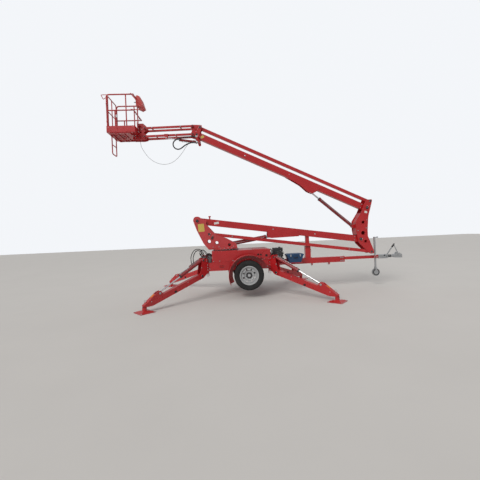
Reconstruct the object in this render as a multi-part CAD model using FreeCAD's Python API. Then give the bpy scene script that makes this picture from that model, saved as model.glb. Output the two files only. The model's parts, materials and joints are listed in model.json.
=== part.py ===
import FreeCAD, Part
import math
import os

# Articulating boom lift on a two-wheel trailer chassis, standing on four outriggers.
# Millimetres. +X points to the drawbar's end, +Y to the far side, +Z up, Z = 0 under the pads.
# X is measured from a datum near the middle; write() moves the machine to the middle of its length.

# Clearances
pin_clearance = 0.08
running_clearance = 0.08
seat_gap = 0.3

# Chassis
chassis_mid_x = -500.0
chassis_half_length = 870.0
rail_outer_y = 500.0
rail_width = 80.0
rail_bottom_z = 635.0
rail_top_z = 835.0
cross_member_offsets = (-830.0, -330.0, 330.0, 830.0)
cross_member_width = 80.0
tie_down_offset = 740.0
tie_down_z = 582.0

# Deck that carries the slewing ring
deck_rear_x = -1130.0
deck_front_x = 270.0
deck_half_width = 495.0
deck_top_z = 1098.0
deck_skin = 8.0
slew_x = -780.0
slew_ring_radius = 290.0
slew_ring_top_z = 1125.0

# Valve bank and pump motor at the rear
manifold_near_y = -405.0
manifold_length = 225.0
manifold_height = 88.0
lever_count = 5
motor_x = -1180.0
motor_y = -455.0
motor_radius = 42.0
motor_height = 170.0

# Wheels and axle
axle_x = -282.0
axle_z = 530.0
wheel_mid_y = 735.0
tyre_radius = 345.0
tyre_half_width = 97.0
tyre_bead_radius = 205.0
rim_radius = 203.0
rim_flange_radius = 220.0
rim_half_width = 80.0
rim_hole_count = 8
rim_hole_circle = 139.0
rim_hole_radius = 20.0
spindle_radius = 25.0
axle_beam_x = -130.0
axle_beam_side = 80.0
arm_inner_y = 545.0
arm_outer_y = 580.0

# Fenders
fender_radius = 470.0
fender_skin = 8.0
fender_inner_y = 605.0
fender_outer_y = 860.0
fender_rear_deg = 205.0
fender_front_deg = 52.0
fender_slope_length = 270.0
fender_wall_radius = 372.0
fender_wall_front_deg = 28.0

# Outriggers: hinge place beside the chassis, splay in plan, fall to the foot
leg_hinge_offset = 905.0
leg_hinge_y = 600.0
leg_hinge_z = 550.0
leg_splay_deg = 41.5
leg_reach = 1430.0
leg_tip_z = 125.0
leg_height = 120.0
leg_width = 100.0
leg_pin_radius = 20.0
leg_bracket_inner = 56.0
leg_bracket_outer = 66.0
leg_ram_base = (-50.0, 910.0)
leg_ram_lug_along = 0.745
leg_ram_lug_rise = 110.0
leg_lug_top = 152.0
leg_slot_half = 28.0
leg_fold_deg = (0.0, 92.0)
pad_side = 320.0
pad_plate = 12.0
pad_crown_side = 130.0
pad_crown_z = 42.0
ball_radius = 28.0
ball_z = 92.0

# Drawbar
drawbar_half_width = 60.0
drawbar_bottom_z = 655.0
drawbar_top_z = 795.0
drawbar_front_x = 2240.0
extension_half_width = 35.0
extension_bottom_z = 705.0
extension_top_z = 780.0
extension_front_x = 3150.0
coupler_nose_x = 3786.0
coupler_body_length = 250.0
jockey_x = 3045.0
jockey_y = -75.0
jockey_tube_radius = 24.0
jockey_top_z = 1250.0
jockey_wheel_radius = 95.0
jockey_wheel_z = 350.0
pack_shaft = (508.0, 925.0)
pack_shroud_radius = 96.0
pack_top_z = 1094.0
tool_box_x = 902.0
tool_box_top_z = 930.0
post_x = 1305.0
post_half_length = 66.0
post_half_width = 60.0
post_top_z = 1094.0
foot_half_length = 44.0
foot_half_width = 40.0

# Lower parallelogram: boom pivot on the turret, boom pivot on the elbow, offset to the links' pins
lower_boom_pivot = (-1471.0, 1853.0)
lower_boom_tip = (2655.0, 1226.0)
link_offset = (275.0, -335.0)
lower_boom_depth = 163.0
lower_boom_half_width = 70.0
link_depth = 78.0
link_inner_y = 88.0
link_outer_y = 118.0
lower_boom_lift_deg = (0.0, 72.0)
lower_ram_base = (-930.0, 1205.0)
lower_ram_lug = (310.0, 1392.0)

# Turret and elbow side plates
turret_inner_y = 130.0
turret_outer_y = 142.0
elbow_inner_y = 125.0
elbow_outer_y = 137.0

# Upper parallelogram: boom pivot on the elbow and on the head, offset to the tie's pins
upper_boom_pivot = (2855.0, 2012.0)
upper_boom_tip = (-1395.0, 4022.0)
tie_offset = (95.0, 172.0)
upper_boom_depth = 155.0
upper_boom_half_width = 62.0
tie_depth = 76.0
tie_half_width = 30.0
upper_boom_swing_deg = (-20.0, 46.0)
upper_ram_base = (2505.0, 1565.0)
upper_ram_lug = (1450.0, 2485.0)

# Boom head, jib and basket bracket
head_inner_y = 80.0
head_outer_y = 92.0
jib_lower_pivot = (-1490.0, 4020.0)
jib_upper_pivot = (-1490.0, 4224.0)
jib_vector = (-1175.0, -25.0)
jib_inner_y = 100.0
jib_outer_y = 130.0
jib_bar_depth = 50.0
jib_swing_deg = (-30.0, 60.0)
jib_ram_y = -160.0
jib_ram_base = (-1340.0, 3800.0)
jib_ram_lug = (-2135.0, 3925.0)

# Basket
basket_length = 670.0
basket_front_x = -2830.0
basket_half_width = 370.0
basket_bottom_z = 4036.0
basket_floor_skin = 16.0
toe_board_height = 133.0
rail_height = 908.0
mid_rail_share = 0.565
rail_radius = 16.0
post_radius = 14.0
rail_bend = 60.0
basket_loop_x = -3603.0
loop_overhang = 0.8
toe_board_skin = 6.0
gate_gap = 14.0
gate_hinge_gap = 46.0
gate_radius = 13.0
panel_gap = 1.0
console_crest = 30.0
guard_radius = 10.0
guard_reach = 271.0
guard_drop = 396.0
floor_rib_height = 24.0
bracket_shelf_x = -2960.0
step_drop = 453.0
step_half_width = 150.0
step_radius = 13.0

basket_rear_x = basket_front_x - basket_length
basket_floor_z = basket_bottom_z + basket_floor_skin
toe_board_z = basket_floor_z + toe_board_height
mid_rail_z = basket_floor_z + rail_height * mid_rail_share
top_rail_z = basket_floor_z + rail_height

# Hose and cable beside the jib: plane, radius, and X, Z of the points its runs meet at
hose_y = -215.0
hose_radius = 15.0
hose_points = ((-1362.0, 3930.0), (-1540.0, 3930.0), (-1720.0, 3916.0), (-1810.0, 3898.0), (-1885.0, 3872.0),
               (-1945.0, 3833.0), (-1975.0, 3767.0), (-1963.0, 3696.0), (-1915.0, 3642.0), (-1846.0, 3624.0),
               (-1777.0, 3646.0), (-1685.0, 3723.0), (-1576.0, 3772.0), (-1462.0, 3794.0), (-1358.0, 3794.0))
cable_y = 165.0
cable_radius = 4.5
cable_points = ((-2852.0, 3976.0), (-2852.0, 3856.0), (-2798.0, 3743.0), (-2739.0, 3641.0), (-2667.0, 3548.0),
                (-2579.0, 3464.0), (-2477.0, 3403.0), (-2366.0, 3363.0), (-2248.0, 3350.0), (-2131.0, 3371.0),
                (-2022.0, 3423.0), (-1931.0, 3497.0), (-1847.0, 3585.0), (-1776.0, 3680.0), (-1709.0, 3780.0),
                (-1631.0, 3870.0), (-1536.0, 3958.0), (-1418.0, 3958.0))
bend_share = 0.45

# Cylinders: neck behind the barrel, end wall, gland, and how fast each lengthens, in mm per radian of its joint
ram_neck = 14.0
ram_wall = 12.0
ram_gland = 45.0
ram_gland_rise = 5.0
leg_ram_rate = -314.5
lower_ram_rate = 788.2
upper_ram_rate = 588.8
jib_ram_rate = -259.6

pin_radius_boom = 30.0
pin_radius_link = 22.0
pin_radius_jib = 16.0

Vector = FreeCAD.Vector


def block(x0, x1, y0, y1, z0, z1):
    return Part.makeBox(x1 - x0, y1 - y0, z1 - z0, Vector(x0, y0, z0))


def prism(outline, y0, y1):
    corners = [Vector(x, y0, z) for x, z in outline]
    face = Part.Face(Part.makePolygon(corners + corners[:1]))
    return face.extrude(Vector(0, y1 - y0, 0))


def disc(centre, radius, y0, y1):
    return Part.makeCylinder(radius, y1 - y0, Vector(centre[0], y0, centre[1]), Vector(0, 1, 0))


def rod(start, end, radius):
    path = end - start
    return Part.makeCylinder(radius, path.Length, start, path)


def rounded(corners, bends, closed=False):
    # edges through the corners, each corner rounded by its own bend; 0 keeps it sharp
    count = len(corners)
    edges = []
    last = first = None
    for k in range(count):
        here, bend = corners[k], bends[k]
        arrive = leave = here
        if bend > 0 and (closed or k not in (0, count - 1)):
            back = (corners[k - 1] - here).normalize()
            onward = (corners[(k + 1) % count] - here).normalize()
            half = back.getAngle(onward) / 2
            cut = bend / math.tan(half)
            arrive, leave = here + back * cut, here + onward * cut
            middle = (back + onward).normalize()
            centre = here + middle * (bend / math.sin(half))
            arc = Part.Arc(arrive, centre - middle * bend, leave).toShape()
        if last is not None and last.distanceToPoint(arrive) > 0.001:
            edges.append(Part.makeLine(last, arrive))
        if arrive != leave:
            edges.append(arc)
        last = leave
        first = first or arrive
    if closed and last.distanceToPoint(first) > 0.001:
        edges.append(Part.makeLine(last, first))
    return edges


def swept(edges, radius):
    # cylinders on the lines and turned rings on the arcs
    pieces = []
    for edge in edges:
        start, heading = edge.valueAt(edge.FirstParameter), edge.tangentAt(edge.FirstParameter)
        section = Part.Face(Part.Wire(Part.makeCircle(radius, start, heading)))
        if isinstance(edge.Curve, Part.Line):
            pieces.append(section.extrude(heading * edge.Length))
        else:
            middle = edge.Curve.Center
            turn = math.degrees(edge.Length / edge.Curve.Radius)
            pieces.append(section.revolve(middle, (start - middle).cross(heading), turn))
    return join(pieces)


def tube(corners, radius, bend, closed=False):
    # round tube through the corners, with one bend radius
    return swept(rounded(corners, [bend] * len(corners), closed), radius)


def plate(outline, y0, y1):
    # outline rows: x, z, corner radius
    corners = [Vector(x, y0, z) for x, z, r in outline]
    face = Part.Face(Part.Wire(rounded(corners, [row[2] for row in outline], True)))
    return face.extrude(Vector(0, y1 - y0, 0))


def pierced(shape, holes, y0, y1):
    # holes rows: x, z, radius
    for x, z, radius in holes:
        shape = shape.cut(disc((x, z), radius, y0, y1))
    return shape


def pair(make, inner, outer):
    # the same plate or boss on both sides of the middle plane
    return [make(*sorted((s * inner, s * outer))) for s in (-1, 1)]


def join(shapes):
    return shapes[0].fuse(shapes[1:]).removeSplitter()


def mirrored(shape):
    return shape.mirror(Vector(0, 0, 0), Vector(0, 1, 0))


def both_sides(shape):
    return Part.Compound([shape, mirrored(shape)])


def along(start, end):
    dx, dz = end[0] - start[0], end[1] - start[1]
    length = math.hypot(dx, dz)
    return length, (dx / length, dz / length)


def offset_point(start, direction, forward, up):
    # up is square to the direction, on its left when seen with +X to the right
    return (start[0] + direction[0] * forward - direction[1] * up,
            start[1] + direction[1] * forward + direction[0] * up)


def bar(start, end, depth, y0, y1, before=0.0, after=0.0):
    length, direction = along(start, end)
    outline = [offset_point(start, direction, s, n) for s, n in (
        (-before, -depth / 2), (length + after, -depth / 2),
        (length + after, depth / 2), (-before, depth / 2))]
    return prism(outline, y0, y1)


def turned(point, pivot, degrees):
    # counter-clockwise seen with +X to the right and +Z up
    angle = math.radians(degrees)
    dx, dz = point[0] - pivot[0], point[1] - pivot[1]
    return (pivot[0] + dx * math.cos(angle) - dz * math.sin(angle),
            pivot[1] + dx * math.sin(angle) + dz * math.cos(angle))


def ram_limits(base, lug, pivot, turn_deg, sense, rate):
    # shortest and longest length over the joint's range, by the pins and by the steady rate (mm per radian)
    rest = along(base, lug)[0]
    lengths = [rest]
    for t in turn_deg:
        lengths.append(along(base, turned(lug, pivot, sense * t))[0])
        lengths.append(rest + rate * math.radians(t))
    return min(lengths), max(lengths)


def ram(base, lug, limits, barrel_radius, rod_radius, eye_radius, eye_half, pin_radius, lug_reach, y=0.0):
    # barrel and rod between two pins, with a bore the rod runs in
    shortest, longest = limits
    direction = along(base, lug)[1]
    axis = Vector(direction[0], 0, direction[1])
    foot = Vector(base[0], y, base[1])
    tip = Vector(lug[0], y, lug[1])
    barrel_start = eye_radius + ram_neck
    barrel_end = shortest - lug_reach
    floor = barrel_start + ram_wall
    neck_tip = (base[0] + direction[0] * (barrel_start + 2), base[1] + direction[1] * (barrel_start + 2))
    barrel = join([
        rod(foot + axis * barrel_start, foot + axis * barrel_end, barrel_radius),
        rod(foot + axis * (barrel_end - ram_gland), foot + axis * barrel_end, barrel_radius + ram_gland_rise),
        bar(base, neck_tip, eye_radius * 1.6, y - eye_half, y + eye_half),
        disc(base, eye_radius, y - eye_half, y + eye_half)])
    barrel = barrel.cut(rod(foot + axis * floor, foot + axis * (barrel_end + 1.0), rod_radius + running_clearance))
    barrel = barrel.cut(disc(base, pin_radius + pin_clearance, y - eye_half - 1, y + eye_half + 1))
    rod_length = shortest - floor - 8.0
    plunger = join([rod(tip - axis * rod_length, tip, rod_radius),
                    disc(lug, eye_radius, y - eye_half, y + eye_half)])
    print("ram", round(shortest, 1), round(longest, 1), "barrel", round(barrel_end, 1),
          "rod held by", round(rod_length - (longest - barrel_end), 1))
    return barrel, plunger


# Trailer
def chassis_frame():
    rear = chassis_mid_x - chassis_half_length
    front = chassis_mid_x + chassis_half_length
    rails = [block(rear, front, s * rail_outer_y - (rail_width if s > 0 else 0),
                   s * rail_outer_y + (0 if s > 0 else rail_width), rail_bottom_z, rail_top_z) for s in (-1, 1)]
    half = cross_member_width / 2
    cross = [block(chassis_mid_x + o - half, chassis_mid_x + o + half, -rail_outer_y + 10, rail_outer_y - 10,
                   rail_bottom_z + 15, rail_top_z) for o in cross_member_offsets]
    # tie-down lugs under the rails, with a round eye each
    lugs = []
    for end in (-1, 1):
        x = chassis_mid_x + end * tie_down_offset
        outline = [(x - 34, rail_bottom_z, 0), (x + 34, rail_bottom_z, 0), (x + 26, tie_down_z - 24, 22),
                   (x - 26, tie_down_z - 24, 22)]
        for s in (-1, 1):
            y0, y1 = sorted((s * (rail_outer_y - 30), s * (rail_outer_y - 16)))
            lugs.append(pierced(plate(outline, y0, y1), [(x, tie_down_z, 12)], y0 - 1, y1 + 1))
    outline = [(-190, rail_bottom_z, 0), (-190, rail_top_z, 12), (-110, 955, 40), (-60, 962, 20), (-20, 955, 14),
               (-8, 900, 40), (30, 700, 60), (58, 580, 30), (50, 515, 25), (0, 495, 30), (-40, 505, 20)]
    corner = []
    for s in (-1, 1):
        corner.append(plate(outline, *sorted((s * leg_bracket_inner, s * leg_bracket_outer))))
        corner.append(disc(leg_ram_base, 28, *sorted((s * 27.0, s * (leg_bracket_inner + 1)))))
    corner.append(disc((0, leg_hinge_z), leg_pin_radius, -leg_bracket_outer - 8, leg_bracket_outer + 8))
    corner.append(disc(leg_ram_base, 15, -leg_bracket_outer - 8, leg_bracket_outer + 8))
    corner.append(block(-190, -120, -leg_bracket_outer, leg_bracket_outer, rail_bottom_z, rail_top_z))
    bracket = join(corner)
    brackets = [outrigger_place(bracket, name) for name in outrigger_corners]
    return join(rails + cross + lugs + brackets)


# corner name, end (-1 rear, 1 front), side (-1 near, 1 far)
outrigger_table = (("near_rear", -1, -1), ("near_front", 1, -1), ("far_rear", -1, 1), ("far_front", 1, 1))
outrigger_corners = [row[0] for row in outrigger_table]


def outrigger_place(shape, name):
    end, side = [row[1:] for row in outrigger_table if row[0] == name][0]
    heading = leg_splay_deg if end > 0 else 180.0 - leg_splay_deg
    placed = shape.copy()
    placed.rotate(Vector(0, 0, 0), Vector(0, 0, 1), side * heading)
    placed.translate(Vector(chassis_mid_x + end * leg_hinge_offset, side * leg_hinge_y, 0))
    return placed


def deck():
    outer = block(deck_rear_x, deck_front_x, -deck_half_width, deck_half_width, rail_top_z, deck_top_z)
    inner = block(deck_rear_x + deck_skin, deck_front_x - deck_skin, -deck_half_width + deck_skin,
                  deck_half_width - deck_skin, rail_top_z - 1, deck_top_z - deck_skin)
    shell = outer.cut(inner)
    # x, z, radius of the side plates' openings
    for x, z, radius in ((-25, 977, 17), (39, 972, 17), (173, 950, 24), (45, 885, 14)):
        shell = shell.cut(disc((x, z), radius, -deck_half_width - 1, deck_half_width + 1))
    return shell


def slew_ring():
    base = Part.makeCylinder(slew_ring_radius + 25, 18, Vector(slew_x, 0, deck_top_z))
    ring = Part.makeCylinder(slew_ring_radius, slew_ring_top_z - deck_top_z, Vector(slew_x, 0, deck_top_z))
    return join([base, ring])


def axle():
    half = axle_beam_side / 2
    top = rail_bottom_z
    beam = block(axle_beam_x - half, axle_beam_x + half, -arm_inner_y, arm_inner_y, top - axle_beam_side, top)
    pieces = [beam]
    for s in (-1, 1):
        y0, y1 = sorted((s * arm_inner_y, s * arm_outer_y))
        pieces.append(bar((axle_beam_x, top - half), (axle_x, axle_z), 70, y0, y1, 30, 0))
        pieces.append(disc((axle_x, axle_z), 42, y0, y1))
        pieces.append(disc((axle_x, axle_z), spindle_radius, *sorted((s * arm_inner_y, s * (wheel_mid_y + 62)))))
        pieces.append(disc((axle_x, axle_z), 48, *sorted((s * arm_outer_y, s * (arm_outer_y + 60)))))
    return join(pieces)


def turned_profile(profile):
    # profile rows: y, radius
    corners = [Vector(0, y, r) for y, r in profile]
    face = Part.Face(Part.makePolygon(corners + corners[:1]))
    return face.revolve(Vector(0, 0, 0), Vector(0, 1, 0), 360)


def tyre(side):
    half = tyre_half_width
    bead = rim_half_width - 10.0
    crown = tyre_radius
    side_wall = [(bead, tyre_bead_radius), (bead, rim_flange_radius + 2), (half, crown - 70), (half - 6, crown - 24),
                 (half - 36, crown)]
    profile = [(-y, r) for y, r in side_wall] + side_wall[::-1]
    shape = turned_profile(profile)
    shape.translate(Vector(axle_x, side * wheel_mid_y, axle_z))
    return shape


def rim(side):
    # drawn with the outside towards -Y
    bead = rim_half_width - 10.0 + seat_gap
    barrel = turned_profile([(-rim_half_width, rim_flange_radius), (-bead, rim_flange_radius), (-bead, rim_radius + 1.7),
                             (-bead + 1, rim_radius + 1.7), (bead - 1, rim_radius + 1.7), (bead, rim_radius + 1.7),
                             (bead, rim_flange_radius), (rim_half_width, rim_flange_radius),
                             (rim_half_width, rim_radius - 8), (-rim_half_width, rim_radius - 8)])
    hub_bore = spindle_radius + pin_clearance
    disc_plate = turned_profile([(-38, rim_radius - 6), (-42, 170), (-50, 150), (-50, 118), (-36, 88), (-30, 70),
                                 (-72, 46), (-72, hub_bore), (50, hub_bore), (50, 60), (-14, 70), (-22, 92),
                                 (-38, 122), (-38, 146), (-30, 168), (-26, rim_radius - 6)])
    for k in range(rim_hole_count):
        angle = math.radians(360.0 / rim_hole_count * (k + 0.5))
        centre = (rim_hole_circle * math.cos(angle), rim_hole_circle * math.sin(angle))
        disc_plate = disc_plate.cut(disc(centre, rim_hole_radius, -80, 0))
    shape = join([barrel, disc_plate])
    if side > 0:
        shape = mirrored(shape)
    shape.translate(Vector(axle_x, side * wheel_mid_y, axle_z))
    return shape


def fender():
    # one fender on the near side: rolled skin with a straight front skirt and an inner wall
    def arc_point(radius, degrees):
        return (axle_x + radius * math.cos(math.radians(degrees)), axle_z + radius * math.sin(math.radians(degrees)))

    inner_radius = fender_radius - fender_skin
    front = math.radians(fender_front_deg)
    slope = (math.sin(front), -math.cos(front))
    outer_front = arc_point(fender_radius, fender_front_deg)
    inner_front = arc_point(inner_radius, fender_front_deg)
    outer_end = (outer_front[0] + slope[0] * fender_slope_length, outer_front[1] + slope[1] * fender_slope_length)
    inner_end = (inner_front[0] + slope[0] * fender_slope_length, inner_front[1] + slope[1] * fender_slope_length)

    def at(point, y):
        return Vector(point[0], y, point[1])

    def arc(radius, a, b, y):
        return Part.Arc(at(arc_point(radius, a), y), at(arc_point(radius, (a + b) / 2), y),
                        at(arc_point(radius, b), y)).toShape()

    def line(a, b, y):
        return Part.makeLine(at(a, y), at(b, y))

    rear_outer, rear_inner = arc_point(fender_radius, fender_rear_deg), arc_point(inner_radius, fender_rear_deg)
    y0 = -fender_outer_y
    skin_wire = Part.Wire([arc(fender_radius, fender_rear_deg, fender_front_deg, y0), line(outer_front, outer_end, y0),
                           line(outer_end, inner_end, y0), line(inner_end, inner_front, y0),
                           arc(inner_radius, fender_front_deg, fender_rear_deg, y0), line(rear_inner, rear_outer, y0)])
    skin = Part.Face(skin_wire).extrude(Vector(0, fender_outer_y - fender_inner_y, 0))
    wall_y = -fender_inner_y - fender_skin
    wall_rear_in = arc_point(fender_wall_radius, fender_rear_deg)
    wall_front_in = arc_point(fender_wall_radius, fender_wall_front_deg)
    wall_wire = Part.Wire([arc(fender_radius - 1, fender_rear_deg, fender_wall_front_deg, wall_y),
                           line(arc_point(fender_radius - 1, fender_wall_front_deg), wall_front_in, wall_y),
                           arc(fender_wall_radius, fender_wall_front_deg, fender_rear_deg, wall_y),
                           line(wall_rear_in, arc_point(fender_radius - 1, fender_rear_deg), wall_y)])
    wall = Part.Face(wall_wire).extrude(Vector(0, fender_skin, 0))
    stay_z = rail_bottom_z + 150
    stays = [block(axle_x + x - 25, axle_x + x + 25, -fender_inner_y - 4, -rail_outer_y, stay_z, stay_z + 30)
             for x in (-330, 330)]
    return join([skin, wall] + stays)


def drawbar():
    rear = chassis_mid_x + cross_member_offsets[-1] + cross_member_width / 2
    tube = block(rear, drawbar_front_x, -drawbar_half_width, drawbar_half_width, drawbar_bottom_z, drawbar_top_z)
    tray = block(tool_box_x - 132, tool_box_x + 168, -375, -drawbar_half_width, drawbar_bottom_z + 60, drawbar_bottom_z + 72)
    lugs = [block(x - 14, x + 14, -40, 40, drawbar_bottom_z - 45, drawbar_bottom_z) for x in (1405, 1850)]
    braces = []
    for s in (-1, 1):
        outline = [Vector(rear, s * 380, 0), Vector(rear, s * 300, 0), Vector(760, s * drawbar_half_width, 0),
                   Vector(860, s * drawbar_half_width, 0)]
        face = Part.Face(Part.makePolygon(outline + outline[:1]))
        face.translate(Vector(0, 0, drawbar_bottom_z + 20))
        braces.append(face.extrude(Vector(0, 0, 38)))
    return join([tube, tray] + lugs + braces)


def drawbar_extension():
    tube = block(drawbar_front_x, extension_front_x, -extension_half_width, extension_half_width,
                 extension_bottom_z, extension_top_z)
    clamp = block(jockey_x - 30, jockey_x + 30, jockey_y - 36, -extension_half_width,
                  extension_bottom_z + 5, extension_top_z - 5)
    clamp = clamp.cut(Part.makeCylinder(jockey_tube_radius + seat_gap, 200,
                                        Vector(jockey_x, jockey_y, extension_bottom_z - 50)))
    return join([tube, clamp])


def boom_rest():
    post = block(post_x - post_half_length, post_x + post_half_length, -post_half_width, post_half_width,
                 drawbar_top_z, post_top_z)
    latch = block(post_x + post_half_length, post_x + post_half_length + 22, -16, 16, 950, 1010)
    return join([post, latch])


def jockey_wheel():
    bottom = jockey_wheel_z + jockey_wheel_radius + 25
    tube = Part.makeCylinder(jockey_tube_radius, jockey_top_z - bottom, Vector(jockey_x, jockey_y, bottom))
    collar = Part.makeCylinder(jockey_tube_radius + 6, 26, Vector(jockey_x, jockey_y, jockey_top_z - 30))
    handle = rod(Vector(jockey_x, jockey_y, jockey_top_z - 8), Vector(jockey_x, jockey_y - 130, jockey_top_z + 2), 8)
    fork = [block(jockey_x - 22, jockey_x + 22, jockey_y + s * 34 - 3, jockey_y + s * 34 + 3,
                  jockey_wheel_z - 20, bottom + 6) for s in (-1, 1)]
    crown = block(jockey_x - 26, jockey_x + 26, jockey_y - 37, jockey_y + 37, bottom - 2, bottom + 8)
    wheel = disc((jockey_x, jockey_wheel_z), jockey_wheel_radius, jockey_y - 26, jockey_y + 26)
    pin = disc((jockey_x, jockey_wheel_z), 8, jockey_y - 40, jockey_y + 40)
    return join([tube, collar, handle, crown, wheel, pin] + fork)


def coupler():
    z = (extension_bottom_z + extension_top_z) / 2
    nose, body_end = coupler_nose_x, extension_front_x + coupler_body_length
    body = block(extension_front_x, body_end, -46, 46, z - 52, z + 48)
    bellows = [rod(Vector(body_end + 22 * k, 0, z), Vector(body_end + 22 * k + 12, 0, z), 36) for k in range(5)]
    shaft = rod(Vector(body_end, 0, z), Vector(nose - 196, 0, z), 26)
    head = plate([(nose - 226, z - 42, 12), (nose - 226, z + 38, 20), (nose - 146, z + 58, 20), (nose - 46, z + 58, 30),
                  (nose, z + 32, 20), (nose, z - 52, 0), (nose - 126, z - 52, 20)], -42, 42)
    socket = Part.makeSphere(26, Vector(nose - 48, 0, z - 34))
    handle = plate([(nose - 186, z + 56, 0), (nose - 146, z + 98, 20), (nose - 86, z + 103, 5), (nose - 86, z + 90, 5),
                    (nose - 136, z + 56, 10)], -12, 12)
    return join([body, shaft, head.cut(socket), handle] + bellows)


def brake_lever():
    # flat arm on the coupler's body, its grip, and a strut down to the coupler's head
    z = (extension_bottom_z + extension_top_z) / 2
    x = extension_front_x + 161
    foot, apex, heel = (x, z - 32), (x + 249, z + 292), (coupler_nose_x - 96, z + 18)
    near, inner = -60, -48
    pieces = [disc(foot, 22, near, -46 - seat_gap), bar(foot, apex, 26, near, inner)]
    pieces.append(bar(apex, heel, 18, near, inner))
    pieces.append(disc(apex, 20, near - 4, inner + 4))
    pieces.append(disc(heel, 16, near, -42 - seat_gap))
    pieces.append(rod(Vector(x + 189, -54, z + 214), Vector(x + 264, -54, z + 312), 15))
    return join(pieces)


def power_pack():
    # small engine on a stand: crankcase, cooling shroud towards -Y, head, silencer, and the tank on top
    stand_top = rail_top_z + 6
    x = pack_shaft[0]
    stand = block(x - 132, x + 132, -240, 50, drawbar_top_z, stand_top)
    case = block(x - 83, x + 82, -228, 30, stand_top - 1, pack_top_z - 86)
    shroud = disc(pack_shaft, pack_shroud_radius, -300, -227)
    starter = disc(pack_shaft, pack_shroud_radius - 28, -318, -299)
    head = block(x + 81, x + 126, -170, -30, pack_shaft[1] - 50, pack_shaft[1] + 52)
    silencer = disc((x - 100, pack_shaft[1] + 30), 40, -170, 10)
    tank = block(x - 116, x + 120, -214, 44, pack_top_z - 87, pack_top_z)
    cap = Part.makeCylinder(24, 20, Vector(x + 52, -100, pack_top_z - 1))
    tank = tank.makeFillet(22, [e for e in tank.Edges if e.tangentAt(e.FirstParameter).z ** 2 > 0.99])
    return join([stand, case, shroud, starter, head, silencer, tank, cap])


def tool_box():
    # tapered crate with a rim, open below its lid
    bottom_z, top_z = drawbar_bottom_z + 72, tool_box_top_z
    x, rim = tool_box_x, 30.0
    near, far = -385.0, -drawbar_half_width

    def ring(half, y0, y1, z):
        corners = [Vector(x - half, y0, z), Vector(x + half, y0, z), Vector(x + half, y1, z), Vector(x - half, y1, z)]
        return Part.makePolygon(corners + corners[:1])

    body = Part.makeLoft([ring(138, near + 30, -85, bottom_z), ring(198, near, far, top_z - rim)], True)
    lid = block(x - 206, x + 206, near - 5, far, top_z - rim, top_z)
    ribs = [block(x + o - 7, x + o + 7, near - 4, near + 40, top_z - 90, top_z - rim + 1) for o in (-120, 0, 120)]
    return join([body, lid] + ribs)


def valve_bank():
    # manifold on the rear cross member, its levers, and the pump's motor on the near rail
    x = chassis_mid_x + cross_member_offsets[0]
    half = cross_member_width / 2
    top = rail_top_z + manifold_height
    pieces = [block(x - half, x + half, manifold_near_y, manifold_near_y + manifold_length, rail_top_z, top)]
    pieces.append(block(x + half - 1, motor_x + 20, manifold_near_y, manifold_near_y + 30, rail_top_z, rail_top_z + 12))
    pieces.append(block(motor_x - 20, motor_x + 20, motor_y, manifold_near_y + 30, rail_top_z, rail_top_z + 12))
    pitch = manifold_length / lever_count
    for k in range(lever_count):
        y = manifold_near_y + pitch * (k + 0.5)
        pieces.append(disc((x - half + 16, top), 12, y - 14, y + 14))
        pieces.append(rod(Vector(x - half + 16, y, top), Vector(x - half - 44, y, top + 108), 5))
        pieces.append(Part.makeSphere(13, Vector(x - half - 44, y, top + 108)))
        pieces.append(Part.makeCylinder(9, 24, Vector(x + half - 18, y, top - 1)))
    pieces.append(Part.makeCylinder(motor_radius, motor_height, Vector(motor_x, motor_y, rail_top_z)))
    pieces.append(Part.makeCylinder(motor_radius - 10, 12, Vector(motor_x, motor_y, rail_top_z + motor_height)))
    return join(pieces)


# Outriggers, drawn with the hinge at X = 0 and the leg towards +X
def outrigger_leg():
    hinge, tip = (0.0, leg_hinge_z), (leg_reach, leg_tip_z)
    length, direction = along(hinge, tip)
    half = leg_height / 2

    def at(s, n):
        return offset_point(hinge, direction, s, n)

    lug = leg_ram_lug_along * length
    # outline rows: distance from the hinge, rise above the centre line
    outline = [at(s, n) for s, n in (
        (0, -half), (length * 0.9, -half), (length + 22, -10), (length + 22, 26), (lug + 40, leg_lug_top),
        (lug - 32, leg_lug_top), (lug - 70, half), (0, half))]
    tube = prism(outline, -leg_width / 2, leg_width / 2)
    slot = prism([at(s, n) for s, n in (
        (lug - 160, half + 4), (lug + 95, half + 4), (lug + 95, leg_lug_top + 60), (lug - 160, leg_lug_top + 60))],
        -leg_slot_half, leg_slot_half)
    tube = tube.cut(slot)
    boss = disc(hinge, half, -leg_width / 2 - 4, leg_width / 2 + 4)
    pin = [disc(at(lug, leg_ram_lug_rise), 15, *sorted((s * 30, s * (leg_width / 2 + 8)))) for s in (-1, 1)]
    stem = Part.makeCylinder(18, leg_tip_z - ball_z, Vector(leg_reach, 0, ball_z))
    socket = Part.makeCylinder(40, 50, Vector(leg_reach, 0, leg_tip_z - 15))
    ball = Part.makeSphere(ball_radius, Vector(leg_reach, 0, ball_z))
    leg = join([tube, boss, stem, socket, ball] + pin)
    return leg.cut(disc(hinge, leg_pin_radius + pin_clearance, -80, 80))


def outrigger_pad():
    def square(side, z):
        h = side / 2
        corners = [Vector(x, y, z) for x, y in ((-h, -h), (h, -h), (h, h), (-h, h))]
        return Part.makePolygon(corners + corners[:1])

    plate = block(-pad_side / 2, pad_side / 2, -pad_side / 2, pad_side / 2, 0, pad_plate)
    crown = Part.makeLoft([square(pad_side - 30, pad_plate), square(pad_crown_side, pad_crown_z)], True)
    cup = Part.makeCylinder(46, ball_z - pad_crown_z + 12, Vector(0, 0, pad_crown_z - 1))
    pad = join([plate, crown, cup])
    pad = pad.cut(Part.makeSphere(ball_radius + seat_gap, Vector(0, 0, ball_z)))
    pad = pad.cut(Part.makeCylinder(ball_radius - 2, 40, Vector(0, 0, ball_z)))
    pad.translate(Vector(leg_reach, 0, 0))
    return pad


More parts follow.
